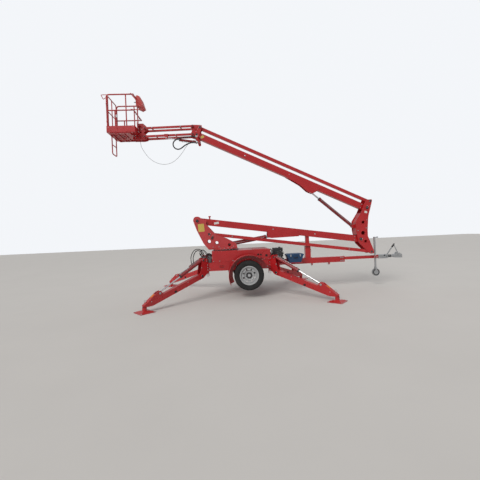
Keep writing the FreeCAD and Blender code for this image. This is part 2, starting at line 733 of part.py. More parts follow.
def outrigger_ram():
    hinge, tip = (0.0, leg_hinge_z), (leg_reach, leg_tip_z)
    length, direction = along(hinge, tip)
    lug = offset_point(hinge, direction, leg_ram_lug_along * length, leg_ram_lug_rise)
    limits = ram_limits(leg_ram_base, lug, hinge, leg_fold_deg, 1, leg_ram_rate)
    return ram(leg_ram_base, lug, limits, 38, 16, 28, 25, 15, 95)


# Turret, lower boom and its links
def turret():
    base_z = slew_ring_top_z + seat_gap
    pivot_x, pivot_z = lower_boom_pivot
    outline = [(pivot_x - 104, pivot_z + 10, 95), (pivot_x - 20, pivot_z - 240, 200), (pivot_x + 130, 1290, 160),
               (-1215, base_z, 20), (-500, base_z, 20), (-520, 1250, 60), (-760, 1390, 120), (-1030, 1500, 160),
               (-1270, 1775, 60), (-1225, 1872, 25), (-1345, 1892, 40), (pivot_x + 40, pivot_z + 108, 95),
               (pivot_x - 80, pivot_z + 108, 80)]
    holes = [(-1200, 1330, 45), (-1010, 1290, 40), (-700, 1230, 34)]
    pieces = pair(lambda y0, y1: pierced(plate(outline, y0, y1), holes, y0 - 1, y1 + 1), turret_inner_y, turret_outer_y)
    pieces.append(block(-1200, -500, -turret_outer_y, turret_outer_y, base_z, base_z + 25))
    pieces.append(Part.makeCylinder(slew_ring_radius - 20, 25, Vector(slew_x, 0, base_z)))
    pieces.append(bar((-1440, 1560), (-1345, 1310), 12, -turret_inner_y - 1, turret_inner_y + 1))
    pieces.append(bar((-1345, 1310), (-1195, base_z + 10), 12, -turret_inner_y - 1, turret_inner_y + 1))
    pieces.append(disc(lower_boom_pivot, pin_radius_boom, -turret_outer_y - 14, turret_outer_y + 14))
    link_pin = (lower_boom_pivot[0] + link_offset[0], lower_boom_pivot[1] + link_offset[1])
    pieces.append(disc(link_pin, pin_radius_link, -turret_outer_y - 10, turret_outer_y + 10))
    pieces += pair(lambda y0, y1: disc(lower_boom_pivot, 66, y0, y1), turret_outer_y, turret_outer_y + 6)
    pieces += pair(lambda y0, y1: disc(link_pin, 46, y0, y1), turret_outer_y, turret_outer_y + 5)
    base_x, lug_z = lower_ram_base
    lug = [(base_x - 62, base_z + 20, 0), (base_x + 40, base_z + 20, 0), (base_x + 38, lug_z + 38, 36),
           (base_x - 38, lug_z + 38, 36)]
    pieces += pair(lambda y0, y1: plate(lug, y0, y1), 32.0, 52.0)
    pieces.append(disc(lower_ram_base, 20, -60, 60))
    return join(pieces)


def lower_boom():
    length, direction = along(lower_boom_pivot, lower_boom_tip)
    half = lower_boom_half_width
    tube = bar(lower_boom_pivot, lower_boom_tip, lower_boom_depth, -half, half)
    pieces = [tube]
    for end in (lower_boom_pivot, lower_boom_tip):
        pieces.append(disc(end, lower_boom_depth / 2, -half, half))
    pieces.append(disc(lower_boom_pivot, 58, -turret_inner_y + 2, turret_inner_y - 2))
    pieces.append(disc(lower_boom_tip, 58, -elbow_inner_y + 2, elbow_inner_y - 2))
    # doubler over the cylinder's lug, with an S-shaped upper edge
    doubler = [(270, 1388, 40), (285, 1562, 30), (520, 1532, 120), (690, 1450, 110), (830, 1468, 130), (935, 1494, 60),
               (1095, 1456, 25), (1085, 1362, 20), (370, 1345, 50)]
    pieces += pair(lambda y0, y1: plate(doubler, y0, y1), half - 1, half + 8)
    pieces += pair(lambda y0, y1: disc(lower_ram_lug, 36, y0, y1), 32.0, half)
    # cross boss and locking knob near the turret's end
    boss = offset_point(lower_boom_pivot, direction, 328, 0)
    pieces += pair(lambda y0, y1: disc(boss, 46, y0, y1), half - 1, half + 10)
    knob_x, knob_z = offset_point(lower_boom_pivot, direction, 295, lower_boom_depth / 2)
    pieces.append(Part.makeCylinder(16, 72, Vector(knob_x, -20, knob_z - 10)))
    pieces.append(Part.makeCylinder(28, 20, Vector(knob_x, -20, knob_z + 60)))
    pieces.append(block(post_x - foot_half_length, post_x + foot_half_length, -foot_half_width, foot_half_width,
                        post_top_z + seat_gap, 1440))
    boom = join(pieces)
    boom = boom.cut(disc(lower_boom_pivot, pin_radius_boom + pin_clearance, -200, 200))
    return boom.cut(disc(lower_boom_tip, pin_radius_boom + pin_clearance, -200, 200))


def lower_links():
    start = (lower_boom_pivot[0] + link_offset[0], lower_boom_pivot[1] + link_offset[1])
    end = (lower_boom_tip[0] + link_offset[0], lower_boom_tip[1] + link_offset[1])
    pieces = []
    for s in (-1, 1):
        y0, y1 = sorted((s * link_inner_y, s * link_outer_y))
        pieces.append(bar(start, end, link_depth, y0, y1))
        pieces.append(disc(start, link_depth / 2 + 4, y0, y1))
        pieces.append(disc(end, link_depth / 2 + 4, y0, y1))
    for along_share in (0.14, 0.86):
        centre = (start[0] + (end[0] - start[0]) * along_share, start[1] + (end[1] - start[1]) * along_share)
        pieces.append(disc(centre, 20, -link_inner_y - 1, link_inner_y + 1))
    links = join(pieces)
    for pivot in (start, end):
        links = links.cut(disc(pivot, pin_radius_link + pin_clearance, -200, 200))
    return links


def lower_ram():
    limits = ram_limits(lower_ram_base, lower_ram_lug, lower_boom_pivot, lower_boom_lift_deg, 1, lower_ram_rate)
    return ram(lower_ram_base, lower_ram_lug, limits, 50, 26, 38, 28, 20, 68)


# Elbow and upper boom
def elbow():
    outline = [(2840, 2222, 30), (3004, 2226, 25), (2975, 2100, 150), (2884, 1800, 500), (2851, 1460, 600),
               (2851, 1290, 60), (2985, 930, 60), (2990, 838, 25), (2890, 838, 60), (2610, 1120, 160),
               (2548, 1440, 500), (2546, 1670, 60), (2700, 1900, 60)]
    # x, z, radius of the lightening holes
    holes = [(2736, 1649, 38), (2724, 1376, 48), (2782, 1161, 36)]
    pieces = pair(lambda y0, y1: pierced(plate(outline, y0, y1), holes, y0 - 1, y1 + 1), elbow_inner_y, elbow_outer_y)
    inner = elbow_inner_y + 1
    pieces.append(bar((2570, 1345), (2566, 1640), 12, -inner, inner))
    pieces.append(bar((2566, 1640), (2700, 1880), 12, -inner, inner))
    pieces.append(bar((2838, 1330), (2849, 1600), 12, -inner, inner))
    pieces.append(bar((2849, 1600), (2888, 1840), 12, -inner, inner))
    pieces.append(bar((2838, 1330), (2930, 1040), 12, -inner, inner))
    pieces.append(disc(lower_boom_tip, pin_radius_boom, -elbow_outer_y - 12, elbow_outer_y + 12))
    link_pin = (lower_boom_tip[0] + link_offset[0], lower_boom_tip[1] + link_offset[1])
    pieces.append(disc(link_pin, pin_radius_link, -elbow_outer_y - 10, elbow_outer_y + 10))
    pieces.append(disc(upper_boom_pivot, pin_radius_boom, -elbow_outer_y - 12, elbow_outer_y + 12))
    tie_pin = (upper_boom_pivot[0] + tie_offset[0], upper_boom_pivot[1] + tie_offset[1])
    pieces.append(disc(tie_pin, pin_radius_link, -elbow_outer_y - 10, elbow_outer_y + 10))
    for centre in (lower_boom_tip, upper_boom_pivot):
        pieces += pair(lambda y0, y1: disc(centre, 62, y0, y1), elbow_outer_y, elbow_outer_y + 5)
    base_x, base_z = upper_ram_base
    lug = [(base_x - 34, base_z - 34, 33), (base_x - 34, base_z + 34, 33), (base_x + 72, base_z + 34, 0),
           (base_x + 72, base_z - 78, 0)]
    pieces += pair(lambda y0, y1: plate(lug, y0, y1), 30.0, 50.0)
    pieces.append(disc(upper_ram_base, 18, -58, 58))
    return join(pieces)


def upper_boom():
    half = upper_boom_half_width
    pieces = [bar(upper_boom_pivot, upper_boom_tip, upper_boom_depth, -half, half)]
    for end in (upper_boom_pivot, upper_boom_tip):
        pieces.append(disc(end, upper_boom_depth / 2, -half, half))
    pieces.append(disc(upper_boom_pivot, 55, -elbow_inner_y + 2, elbow_inner_y - 2))
    pieces.append(disc(upper_boom_tip, 55, -head_inner_y + 2, head_inner_y - 2))
    length, direction = along(upper_boom_pivot, upper_boom_tip)
    # doubler rows: distance from the elbow pivot, rise above the boom's centre line, corner radius
    doubler = [(*offset_point(upper_boom_pivot, direction, s, n), r) for s, n, r in (
        (1290, 10, 20), (1350, 100, 60), (1425, 205, 35), (1570, 205, 50), (1800, 128, 200), (2240, 76, 40),
        (2290, -25, 20), (2060, 22, 150), (1860, -8, 120), (1700, 38, 120), (1480, -6, 80))]
    pieces += pair(lambda y0, y1: plate(doubler, y0, y1), half - 1, half + 8)
    pieces += pair(lambda y0, y1: disc(upper_ram_lug, 34, y0, y1), 30.0, half)
    boom = join(pieces)
    boom = boom.cut(disc(upper_boom_pivot, pin_radius_boom + pin_clearance, -200, 200))
    return boom.cut(disc(upper_boom_tip, pin_radius_link + pin_clearance, -200, 200))


def upper_tie():
    start = (upper_boom_pivot[0] + tie_offset[0], upper_boom_pivot[1] + tie_offset[1])
    end = (upper_boom_tip[0] + tie_offset[0], upper_boom_tip[1] + tie_offset[1])
    tie = join([bar(start, end, tie_depth, -tie_half_width, tie_half_width),
                disc(start, tie_depth / 2, -elbow_inner_y + 2, elbow_inner_y - 2),
                disc(end, tie_depth / 2, -head_inner_y + 2, head_inner_y - 2)])
    tie = tie.cut(disc(start, pin_radius_link + pin_clearance, -200, 200))
    return tie.cut(disc(end, pin_radius_link + pin_clearance, -200, 200))


def upper_ram():
    limits = ram_limits(upper_ram_base, upper_ram_lug, upper_boom_pivot, upper_boom_swing_deg, -1, upper_ram_rate)
    return ram(upper_ram_base, upper_ram_lug, limits, 42, 20, 30, 26, 18, 75)


# Boom head, jib and basket
def boom_head():
    tie_pin = (upper_boom_tip[0] + tie_offset[0], upper_boom_tip[1] + tie_offset[1])
    outline = [(-1532, 4268, 30), (-1258, 4254, 25), (-1262, 4190, 40), (-1330, 4010, 60), (-1306, 3800, 30),
               (-1318, 3772, 20), (-1362, 3772, 20), (-1430, 3950, 60), (-1535, 3978, 30), (-1540, 4045, 30),
               (-1508, 4115, 40), (-1536, 4200, 30)]
    window = [(-1450, 4172, 10), (-1366, 4168, 10), (-1410, 4080, 12)]
    pieces = pair(lambda y0, y1: plate(outline, y0, y1).cut(plate(window, y0 - 1, y1 + 1)), head_inner_y, head_outer_y)
    pieces.append(disc(upper_boom_tip, pin_radius_link, -head_outer_y - 6, head_outer_y + 6))
    pieces.append(disc(tie_pin, pin_radius_link, -head_outer_y - 6, head_outer_y + 6))
    for pivot in (jib_lower_pivot, jib_upper_pivot):
        pieces.append(disc(pivot, pin_radius_jib, -jib_outer_y - 8, jib_outer_y + 8))
    pieces.append(disc(jib_ram_base, 12, jib_ram_y - 26, -head_inner_y))
    # glands: hose start, hose end on the cylinder's pin, cable end
    x, z = hose_points[0]
    pieces.append(block(x, x + 34, hose_y - 20, -head_outer_y + 1, z - 20, z + 20))
    x, z = hose_points[-1]
    pieces.append(block(x, x + 36, hose_y - 20, jib_ram_y - 24, z - 18, z + 18))
    x, z = cable_points[-1]
    pieces.append(block(x, x + 34, head_outer_y - 1, cable_y + 12, z - 14, z + 14))
    pieces.append(disc(jib_ram_base, 24, jib_ram_y + 18, -head_outer_y + 1))
    return join(pieces)


def jib_arm(pivot, spacers, lug=None):
    end = (pivot[0] + jib_vector[0], pivot[1] + jib_vector[1])
    pieces = []
    for s in (-1, 1):
        y0, y1 = sorted((s * jib_inner_y, s * jib_outer_y))
        pieces.append(bar(pivot, end, jib_bar_depth, y0, y1))
        pieces.append(disc(pivot, 32, y0, y1))
        pieces.append(disc(end, 32, y0, y1))
    length, direction = along(pivot, end)
    for distance in spacers:
        pieces.append(disc(offset_point(pivot, direction, distance, 0), 18, -jib_inner_y - 1, jib_inner_y + 1))
    if lug:
        for offset in (-22, 22):
            centre = jib_ram_y + offset
            pieces.append(plate([(lug[0] - 50, lug[1] + 95, 0), (lug[0] - 25, lug[1] - 25, 24),
                                 (lug[0] + 25, lug[1] - 25, 24), (lug[0] + 50, lug[1] + 95, 0)], centre - 4, centre + 4))
        pieces.append(block(lug[0] - 50, lug[0] + 50, jib_ram_y - 26, -jib_inner_y - 2, lug[1] + 84, lug[1] + 98))
    arm = join(pieces)
    arm = arm.cut(disc(pivot, pin_radius_jib + pin_clearance, -200, 200))
    return arm.cut(disc(end, pin_radius_jib + pin_clearance, -200, 200))


def jib_ram():
    limits = ram_limits(jib_ram_base, jib_ram_lug, jib_lower_pivot, jib_swing_deg, 1, jib_ram_rate)
    return ram(jib_ram_base, jib_ram_lug, limits, 28, 12, 20, 14, 12, 50, jib_ram_y)


def basket_bracket():
    upper = (jib_upper_pivot[0] + jib_vector[0], jib_upper_pivot[1] + jib_vector[1])
    lower = (jib_lower_pivot[0] + jib_vector[0], jib_lower_pivot[1] + jib_vector[1])
    outline = [(-2828, 4325, 10), (-2700, 4325, 30), (-2622, 4245, 34), (-2622, 4160, 34), (-2715, 4097, 22),
               (-2622, 4035, 34), (-2622, 3940, 34), (-2720, 3922, 20), (bracket_shelf_x, 3928, 10),
               (bracket_shelf_x, 4020, 0), (-2828, 4020, 0)]
    holes = [(-2770, 4240, 24), (-2778, 4112, 22), (-2712, 4012, 18), (-2800, 3985, 24)]
    pieces = pair(lambda y0, y1: pierced(plate(outline, y0, y1), holes, y0 - 1, y1 + 1), head_inner_y, head_outer_y)
    pieces.append(block(-2828, -2812, -200, 200, 4045, 4320))
    pieces.append(block(bracket_shelf_x, -2850, -200, 200, 4012, basket_bottom_z))
    for pivot in (upper, lower):
        pieces.append(disc(pivot, pin_radius_jib, -jib_outer_y - 8, jib_outer_y + 8))
    # the cable's gland under the shelf
    x, z = cable_points[0]
    pieces.append(block(x - 14, x + 14, cable_y - 14, cable_y + 14, z, basket_bottom_z))
    return join(pieces)


def rail_planes():
    # X of the entry side's and the front's rails, and Y of the sides' rails
    inset = toe_board_skin + seat_gap + rail_radius
    return basket_rear_x + inset, basket_front_x - inset, basket_half_width - inset


def side_panel():
    # near side: rails, the two inner posts, and the corner post the gate hangs on
    r = rail_radius
    x0, x1, w = rail_planes()
    top = top_rail_z - r
    end = x1 - r - 1 - panel_gap
    pieces = [tube([Vector(x0, -w, basket_floor_z), Vector(x0, -w, top), Vector(end, -w, top)], r, rail_bend),
              rod(Vector(x0, -w, mid_rail_z), Vector(end, -w, mid_rail_z), r - 1)]
    for share, height in ((0.3, mid_rail_z), (0.72, top)):
        x = x0 + (x1 - x0) * share
        pieces.append(rod(Vector(x, -w, basket_floor_z), Vector(x, -w, height), post_radius))
    return join(pieces)


def basket_rails():
    r = rail_radius
    x0, x1, w = rail_planes()
    top = top_rail_z - r
    # round bar loop off the entry's near corner, and the guard beside the console
    loop = tube([Vector(x0 + rail_bend, -w, top), Vector(basket_loop_x, -w, top - 4),
                 Vector(basket_loop_x + 52, -w, top - 108), Vector(x0, -w, top - 66)], 8, 12)
    guard_y = -w - r - 1 - guard_radius - panel_gap
    start = x1 - 2 * r - guard_radius
    guard = [tube([Vector(start, guard_y, top), Vector(x1 + guard_reach, guard_y, top - guard_drop),
                   Vector(start, guard_y, mid_rail_z)], guard_radius, 30)]
    for z in (top, mid_rail_z):
        guard.append(rod(Vector(start, guard_y - guard_radius - 3, z), Vector(start, -w, z), guard_radius + 3))
    near = join([side_panel(), loop] + guard)
    # front: two rails with ball ends, and one post
    front = [rod(Vector(x1, 0, basket_floor_z), Vector(x1, 0, top), post_radius)]
    for z in (top, mid_rail_z):
        front.append(rod(Vector(x1, -w, z), Vector(x1, w, z), r))
        front += [Part.makeSphere(r + 1, Vector(x1, s * w, z)) for s in (-1, 1)]
    return Part.Compound([near, mirrored(side_panel()), join(front)])


def basket_floor():
    outer = block(basket_rear_x, basket_front_x, -basket_half_width, basket_half_width, basket_bottom_z, toe_board_z)
    skin = toe_board_skin
    inner = block(basket_rear_x + skin, basket_front_x - skin, -basket_half_width + skin, basket_half_width - skin,
                  basket_floor_z, toe_board_z + 1)
    # edge frame, cross ribs and the step's pocket under the floor
    low = basket_bottom_z - floor_rib_height
    x0, x1, w = basket_rear_x + 72, bracket_shelf_x - seat_gap, basket_half_width - 12
    ribs = [block(x0, x1, s * w - (24 if s > 0 else 0), s * w + (0 if s > 0 else 24), low, basket_bottom_z)
            for s in (-1, 1)]
    for x in (x0, x0 + (x1 - x0) * 0.3, x0 + (x1 - x0) * 0.62, x1 - 24):
        ribs.append(block(x, x + 24, -w, w, low, basket_bottom_z))
    return join([outer.cut(inner)] + ribs)


def basket_gate():
    # hangs on the near corner post; its bars are level with the rails
    x, end, w = rail_planes()
    r = rail_radius
    near, far = -w + r + gate_hinge_gap, w - r - gate_gap
    low, top = toe_board_z + gate_gap + gate_radius, top_rail_z - r
    frame = tube([Vector(x, near + gate_radius, low), Vector(x, far - gate_radius, low),
                  Vector(x, far - gate_radius, top), Vector(x, near + gate_radius, top)], gate_radius, 30, True)
    pieces = [frame, rod(Vector(x, near + gate_radius, mid_rail_z), Vector(x, far - gate_radius, mid_rail_z), gate_radius - 2),
              rod(Vector(x, 0, low), Vector(x, 0, top), gate_radius - 1)]
    for z in (low + 90, mid_rail_z + 160):
        pieces.append(rod(Vector(x, near - gate_hinge_gap + seat_gap, z), Vector(x, near + gate_radius, z), gate_radius - 3))
    return join(pieces)


def basket_step():
    x = basket_rear_x + 45
    low, w = basket_bottom_z - step_drop, step_half_width
    ladder = tube([Vector(x, -w, basket_bottom_z - floor_rib_height), Vector(x, -w, low), Vector(x, w, low),
                   Vector(x, w, basket_bottom_z - floor_rib_height)], step_radius, 45)
    rung = rod(Vector(x, -w, basket_bottom_z - step_drop / 2), Vector(x, w, basket_bottom_z - step_drop / 2), 11)
    feet = [block(x - 20, x + 20, s * w - 20, s * w + 20, basket_bottom_z - floor_rib_height - 8, basket_bottom_z)
            for s in (-1, 1)]
    return join([ladder, rung] + feet)


def control_console():
    # hangs on the top rail by two hooks; its back lies just outside the rails
    back = basket_front_x - toe_board_skin
    crest = top_rail_z + console_crest
    box = prism([(back, crest - 240), (back, crest - 15), (back + 46, crest), (back + 106, crest - 38),
                 (back + 166, crest - 245), (back + 90, crest - 285)], -190, 150)
    hook_end = back - seat_gap - 2 * rail_radius
    hooks = [block(hook_end, back + 1, y, y + 40, top_rail_z, top_rail_z + 8) for y in (-150, 70)]
    return join([box] + hooks)


def cord(label, points, radius, y):
    # straight runs joined by tangent arcs
    corners = [Vector(x, y, z) for x, z in points]
    runs = [a.distanceToPoint(b) for a, b in zip(corners, corners[1:])]
    bends = [0.0]
    for k in range(1, len(corners) - 1):
        turn = (corners[k] - corners[k - 1]).getAngle(corners[k + 1] - corners[k])
        bends.append(bend_share * min(runs[k - 1], runs[k]) / math.tan(turn / 2))
    edges = rounded(corners, bends + [0.0])
    length = sum(edge.Length for edge in edges)
    shape = swept(edges, radius)
    print(label, "length", round(length, 1), "least bend", round(min(bends[1:]), 1),
          "volume over section x length", round(shape.Volume / (math.pi * radius ** 2 * length), 4))
    return shape


def write(name, shape):
    placed = shape.copy()
    placed.translate(Vector(-(basket_loop_x - loop_overhang + coupler_nose_x) / 2, 0, 0))
    placed.exportStep("parts/" + name + ".step")
    solids = placed.Solids
    print(name, len(solids), placed.isValid(), round(sum(s.Volume for s in solids) / 1e6, 2))


def main():
    os.makedirs("parts", exist_ok=True)
    write("chassis_frame", chassis_frame())
    write("deck", deck())
    write("slew_ring", slew_ring())
    write("axle", axle())
    write("fenders", both_sides(fender()))
    write("drawbar", drawbar())
    write("drawbar_extension", drawbar_extension())
    write("boom_rest", boom_rest())
    write("jockey_wheel", jockey_wheel())
    write("coupler", coupler())
    write("brake_lever", brake_lever())
    write("power_pack", power_pack())
    write("tool_box", tool_box())
    write("valve_bank", valve_bank())
    for name, side in (("near", -1), ("far", 1)):
        write("tyre_" + name, tyre(side))
        write("rim_" + name, rim(side))
    leg, pad = outrigger_leg(), outrigger_pad()
    barrel, plunger = outrigger_ram()
    for name in outrigger_corners:
        for piece, shape in (("leg", leg), ("pad", pad), ("barrel", barrel), ("rod", plunger)):
            write("outrigger_" + piece + "_" + name, outrigger_place(shape, name))
    write("turret", turret())
    write("lower_boom", lower_boom())
    write("lower_links", lower_links())
    barrel, plunger = lower_ram()
    write("lower_ram_barrel", barrel)
    write("lower_ram_rod", plunger)
    write("elbow", elbow())
    write("upper_boom", upper_boom())
    write("upper_tie", upper_tie())
    barrel, plunger = upper_ram()
    write("upper_ram_barrel", barrel)
    write("upper_ram_rod", plunger)
    write("boom_head", boom_head())
    write("jib_lower_arm", jib_arm(jib_lower_pivot, (420.0, 900.0), jib_ram_lug))
    write("jib_upper_arm", jib_arm(jib_upper_pivot, (300.0, 1000.0)))
    barrel, plunger = jib_ram()
    write("jib_ram_barrel", barrel)
    write("jib_ram_rod", plunger)
    write("basket_bracket", basket_bracket())
    write("basket_rails", basket_rails())
    write("basket_floor", basket_floor())
    write("basket_gate", basket_gate())
    write("basket_step", basket_step())
    write("control_console", control_console())
    write("jib_hose", cord("hose", hose_points, hose_radius, hose_y))
    write("basket_cable", cord("cable", cable_points, cable_radius, cable_y))


main()
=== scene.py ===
import json
import math
import random

import bmesh
import bpy
from mathutils import Matrix, Vector


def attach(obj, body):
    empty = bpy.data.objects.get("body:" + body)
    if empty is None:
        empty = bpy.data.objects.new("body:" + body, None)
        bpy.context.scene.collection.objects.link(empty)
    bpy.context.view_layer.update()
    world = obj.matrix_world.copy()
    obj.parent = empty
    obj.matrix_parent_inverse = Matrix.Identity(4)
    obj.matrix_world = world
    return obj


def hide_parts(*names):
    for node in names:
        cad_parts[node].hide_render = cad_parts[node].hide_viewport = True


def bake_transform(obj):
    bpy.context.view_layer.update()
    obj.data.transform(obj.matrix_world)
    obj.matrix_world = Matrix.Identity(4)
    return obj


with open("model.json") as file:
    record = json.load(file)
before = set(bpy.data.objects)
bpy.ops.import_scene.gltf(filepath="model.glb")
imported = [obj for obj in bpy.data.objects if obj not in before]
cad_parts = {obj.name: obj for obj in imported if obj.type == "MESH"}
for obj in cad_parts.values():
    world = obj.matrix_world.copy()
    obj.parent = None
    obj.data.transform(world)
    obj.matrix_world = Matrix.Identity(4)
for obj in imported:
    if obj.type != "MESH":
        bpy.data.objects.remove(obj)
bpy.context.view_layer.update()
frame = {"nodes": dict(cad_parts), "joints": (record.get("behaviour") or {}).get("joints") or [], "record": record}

nodes = frame["nodes"]
joints = {joint["name"]: joint for joint in frame["joints"]}
collection = bpy.context.scene.collection
seed = random.Random(7)
print("frame loaded:", len(nodes), "nodes")


# Small tools for node trees

def newMaterial(name):
    material = bpy.data.materials.new(name)
    material.use_nodes = True
    tree = material.node_tree
    return material, tree, tree.nodes["Principled BSDF"]


def addNode(tree, kind, inputs=None, **settings):
    node = tree.nodes.new(kind)
    for key, value in settings.items():
        setattr(node, key, value)
    for key, value in (inputs or {}).items():
        node.inputs[key].default_value = value
    return node


def noise(tree, scale, detail=4.0, roughness=0.55):
    coords = addNode(tree, "ShaderNodeTexCoord")
    texture = addNode(tree, "ShaderNodeTexNoise", {"Scale": scale, "Detail": detail, "Roughness": roughness})
    tree.links.new(coords.outputs["Object"], texture.inputs["Vector"])
    return texture.outputs["Fac"]


def ramp(tree, source, stops):
    node = addNode(tree, "ShaderNodeValToRGB")
    for element, (place, colour) in zip(node.color_ramp.elements, stops):
        element.position = place
        element.color = (*colour, 1.0)
    tree.links.new(source, node.inputs["Fac"])
    return node.outputs["Color"]


def mix(tree, factor, first, second):
    node = addNode(tree, "ShaderNodeMix", data_type="RGBA")
    for socket, value in (("Factor", factor), ("A", first), ("B", second)):
        target = [i for i in node.inputs if i.name == socket and i.enabled][0]
        if isinstance(value, tuple):
            target.default_value = (*value, 1.0)
        else:
            tree.links.new(value, target)
    return [o for o in node.outputs if o.enabled][0]


def times(tree, source, factor):
    node = addNode(tree, "ShaderNodeMath", operation="MULTIPLY")
    tree.links.new(source, node.inputs[0])
    if isinstance(factor, float):
        node.inputs[1].default_value = factor
    else:
        tree.links.new(factor, node.inputs[1])
    return node.outputs[0]


def span(tree, source, low, high, fromLow=0.3, fromHigh=0.7):
    node = addNode(tree, "ShaderNodeMapRange",
                   {"From Min": fromLow, "From Max": fromHigh, "To Min": low, "To Max": high})
    tree.links.new(source, node.inputs["Value"])
    return node.outputs["Result"]


def bump(tree, shader, height, strength):
    node = addNode(tree, "ShaderNodeBump", {"Strength": strength, "Distance": 0.0006})
    tree.links.new(height, node.inputs["Height"])
    tree.links.new(node.outputs["Normal"], shader.inputs["Normal"])


def paint(name, look):
    # sprayed enamel: slow shade changes, a paler tint on what faces up that is partly dust and partly painted sky
    # sheen, fine orange peel
    colour, deep, dustAndSheenColour, dustAndSheen, specks, rough, coat = look
    material, tree, shader = newMaterial(name)
    links = tree.links
    body = ramp(tree, noise(tree, 3.2, 5.0), [(0.32, deep), (0.68, colour)])
    geometry = addNode(tree, "ShaderNodeNewGeometry")
    parts = addNode(tree, "ShaderNodeSeparateXYZ")
    links.new(geometry.outputs["Normal"], parts.inputs["Vector"])
    # what faces up is tinted paler: dust, and a painted highlight standing in for sky sheen
    upward = span(tree, parts.outputs["Z"], 0.0, 1.0, 0.35, 1.0)
    cloud = span(tree, noise(tree, 7.0, 6.0, 0.65), 0.25 * dustAndSheen, dustAndSheen)
    dustAndSheenTinted = mix(tree, times(tree, upward, cloud), body, dustAndSheenColour)
    spots = ramp(tree, noise(tree, 46.0, 3.0, 0.7), [(0.58, (0, 0, 0)), (0.74, (1, 1, 1))])
    speckled = mix(tree, times(tree, spots, specks), dustAndSheenTinted, dustAndSheenColour)
    links.new(speckled, shader.inputs["Base Color"])
    links.new(span(tree, noise(tree, 11.0), rough - 0.06, rough + 0.10), shader.inputs["Roughness"])
    shader.inputs["Coat Weight"].default_value = coat
    shader.inputs["Coat Roughness"].default_value = 0.16
    bump(tree, shader, noise(tree, 240.0, 2.0), 0.06)
    return material


def surface(name, look):
    # bare metal follows its grain; plastic and rubber have slow clouds and a fine skin
    colour, deep, rough, grain, pimples, *metallic = look
    material, tree, shader = newMaterial(name)
    if metallic:
        cloud, shine, fine, roughest = noise(tree, grain, 5.0, 0.6), grain * 1.7, grain * 4.0, rough + 0.12
        shader.inputs["Metallic"].default_value = metallic[0]
    else:
        cloud, shine, fine, roughest = noise(tree, 6.0, 5.0), 14.0, grain, rough + 0.08
    tree.links.new(ramp(tree, cloud, [(0.3, deep), (0.7, colour)]), shader.inputs["Base Color"])
    tree.links.new(span(tree, noise(tree, shine), rough - 0.05, roughest), shader.inputs["Roughness"])
    bump(tree, shader, noise(tree, fine, 3.0), pimples)
    return material


# colour, deep shade, colour of the up-facing tint (dust and painted sky sheen), its amount, specks, roughness, coat
paintLooks = {
    "redPaint": ((0.47, 0.013, 0.016), (0.40, 0.009, 0.012), (0.46, 0.12, 0.10), 0.20, 0.05, 0.30, 0.30),
    "darkRedPaint": ((0.27, 0.012, 0.016), (0.20, 0.009, 0.012), (0.38, 0.17, 0.15), 0.28, 0.05, 0.33, 0.25),
    "blackPaint": ((0.030, 0.030, 0.033), (0.018, 0.018, 0.020), (0.22, 0.20, 0.18), 0.30, 0.10, 0.42, 0.10),
    "paleTurretRed": ((0.52, 0.045, 0.050), (0.45, 0.036, 0.040), (0.56, 0.26, 0.23), 0.38, 0.05, 0.38, 0.25),
    "silverPaint": ((0.42, 0.425, 0.43), (0.34, 0.345, 0.35), (0.42, 0.38, 0.33), 0.25, 0.08, 0.34, 0.20),
    "greyPaint": ((0.115, 0.120, 0.125), (0.085, 0.088, 0.092), (0.28, 0.26, 0.24), 0.28, 0.08, 0.38, 0.15),
}
# colour, deep shade, roughness, grain, bump and, for metals, how metallic
surfaceLooks = {
    "chromeRod": ((0.80, 0.81, 0.83), (0.66, 0.67, 0.69), 0.14, 24.0, 0.02, 1.0),
    "zincSteel": ((0.56, 0.57, 0.58), (0.36, 0.37, 0.38), 0.38, 34.0, 0.10, 0.85),
    "tyreRubber": ((0.021, 0.021, 0.021), (0.011, 0.011, 0.011), 0.86, 160.0, 0.25),
    "blueBox": ((0.020, 0.075, 0.17), (0.013, 0.052, 0.13), 0.45, 210.0, 0.18),
    "consoleShell": ((0.58, 0.045, 0.035), (0.50, 0.032, 0.026), 0.36, 260.0, 0.10),
    "hoseRubber": ((0.022, 0.022, 0.024), (0.012, 0.012, 0.013), 0.55, 190.0, 0.15),
    "cableGrey": ((0.30, 0.31, 0.32), (0.24, 0.25, 0.26), 0.50, 200.0, 0.10),
    "gripRubber": ((0.020, 0.020, 0.021), (0.011, 0.011, 0.012), 0.62, 320.0, 0.22),
    "yellowPlate": ((0.62, 0.46, 0.10), (0.55, 0.40, 0.08), 0.40, 260.0, 0.03),
    "whitePlate": ((0.72, 0.71, 0.69), (0.64, 0.63, 0.61), 0.38, 260.0, 0.03),
    "amberLens": ((0.85, 0.26, 0.015), (0.72, 0.18, 0.010), 0.16, 380.0, 0.30),
    "redLens": ((0.50, 0.010, 0.012), (0.36, 0.006, 0.008), 0.14, 380.0, 0.30),
}
materials = {name: paint(name, look) for name, look in paintLooks.items()}
materials.update({name: surface(name, look) for name, look in surfaceLooks.items()})
print("materials:", len(materials))


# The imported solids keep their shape; each gets its finish and softly broken edges

slotLooks = {"red_paint": "redPaint", "dark_red_paint": "darkRedPaint", "rod_chrome": "chromeRod",
             "tyre": "tyreRubber", "rim_silver": "silverPaint", "dark_metal": "blackPaint",
             "galvanised": "zincSteel", "tool_box_plastic": "blueBox", "console_plastic": "consoleShell",
             "hose_rubber": "hoseRubber", "cable_grey": "cableGrey"}
slotOfNode = {entry["node"]: entry["material_slot"] for entry in frame["record"]["subparts"]}
# the turret is given a paler, pinker red than the rest
ownLooks = {"turret": "paleTurretRed"}
edges = {"weld": 0.00002, "width": 0.003, "segments": 2, "angle": 32.0, "flatness": 80, "flatSpan": 0.01}


def bevelEdges(solid, width, angle):
    bevel = solid.modifiers.new("edges", "BEVEL")
    bevel.width = width
    bevel.segments = edges["segments"]
    bevel.limit_method = "ANGLE"
    bevel.angle_limit = math.radians(angle)
    return bevel


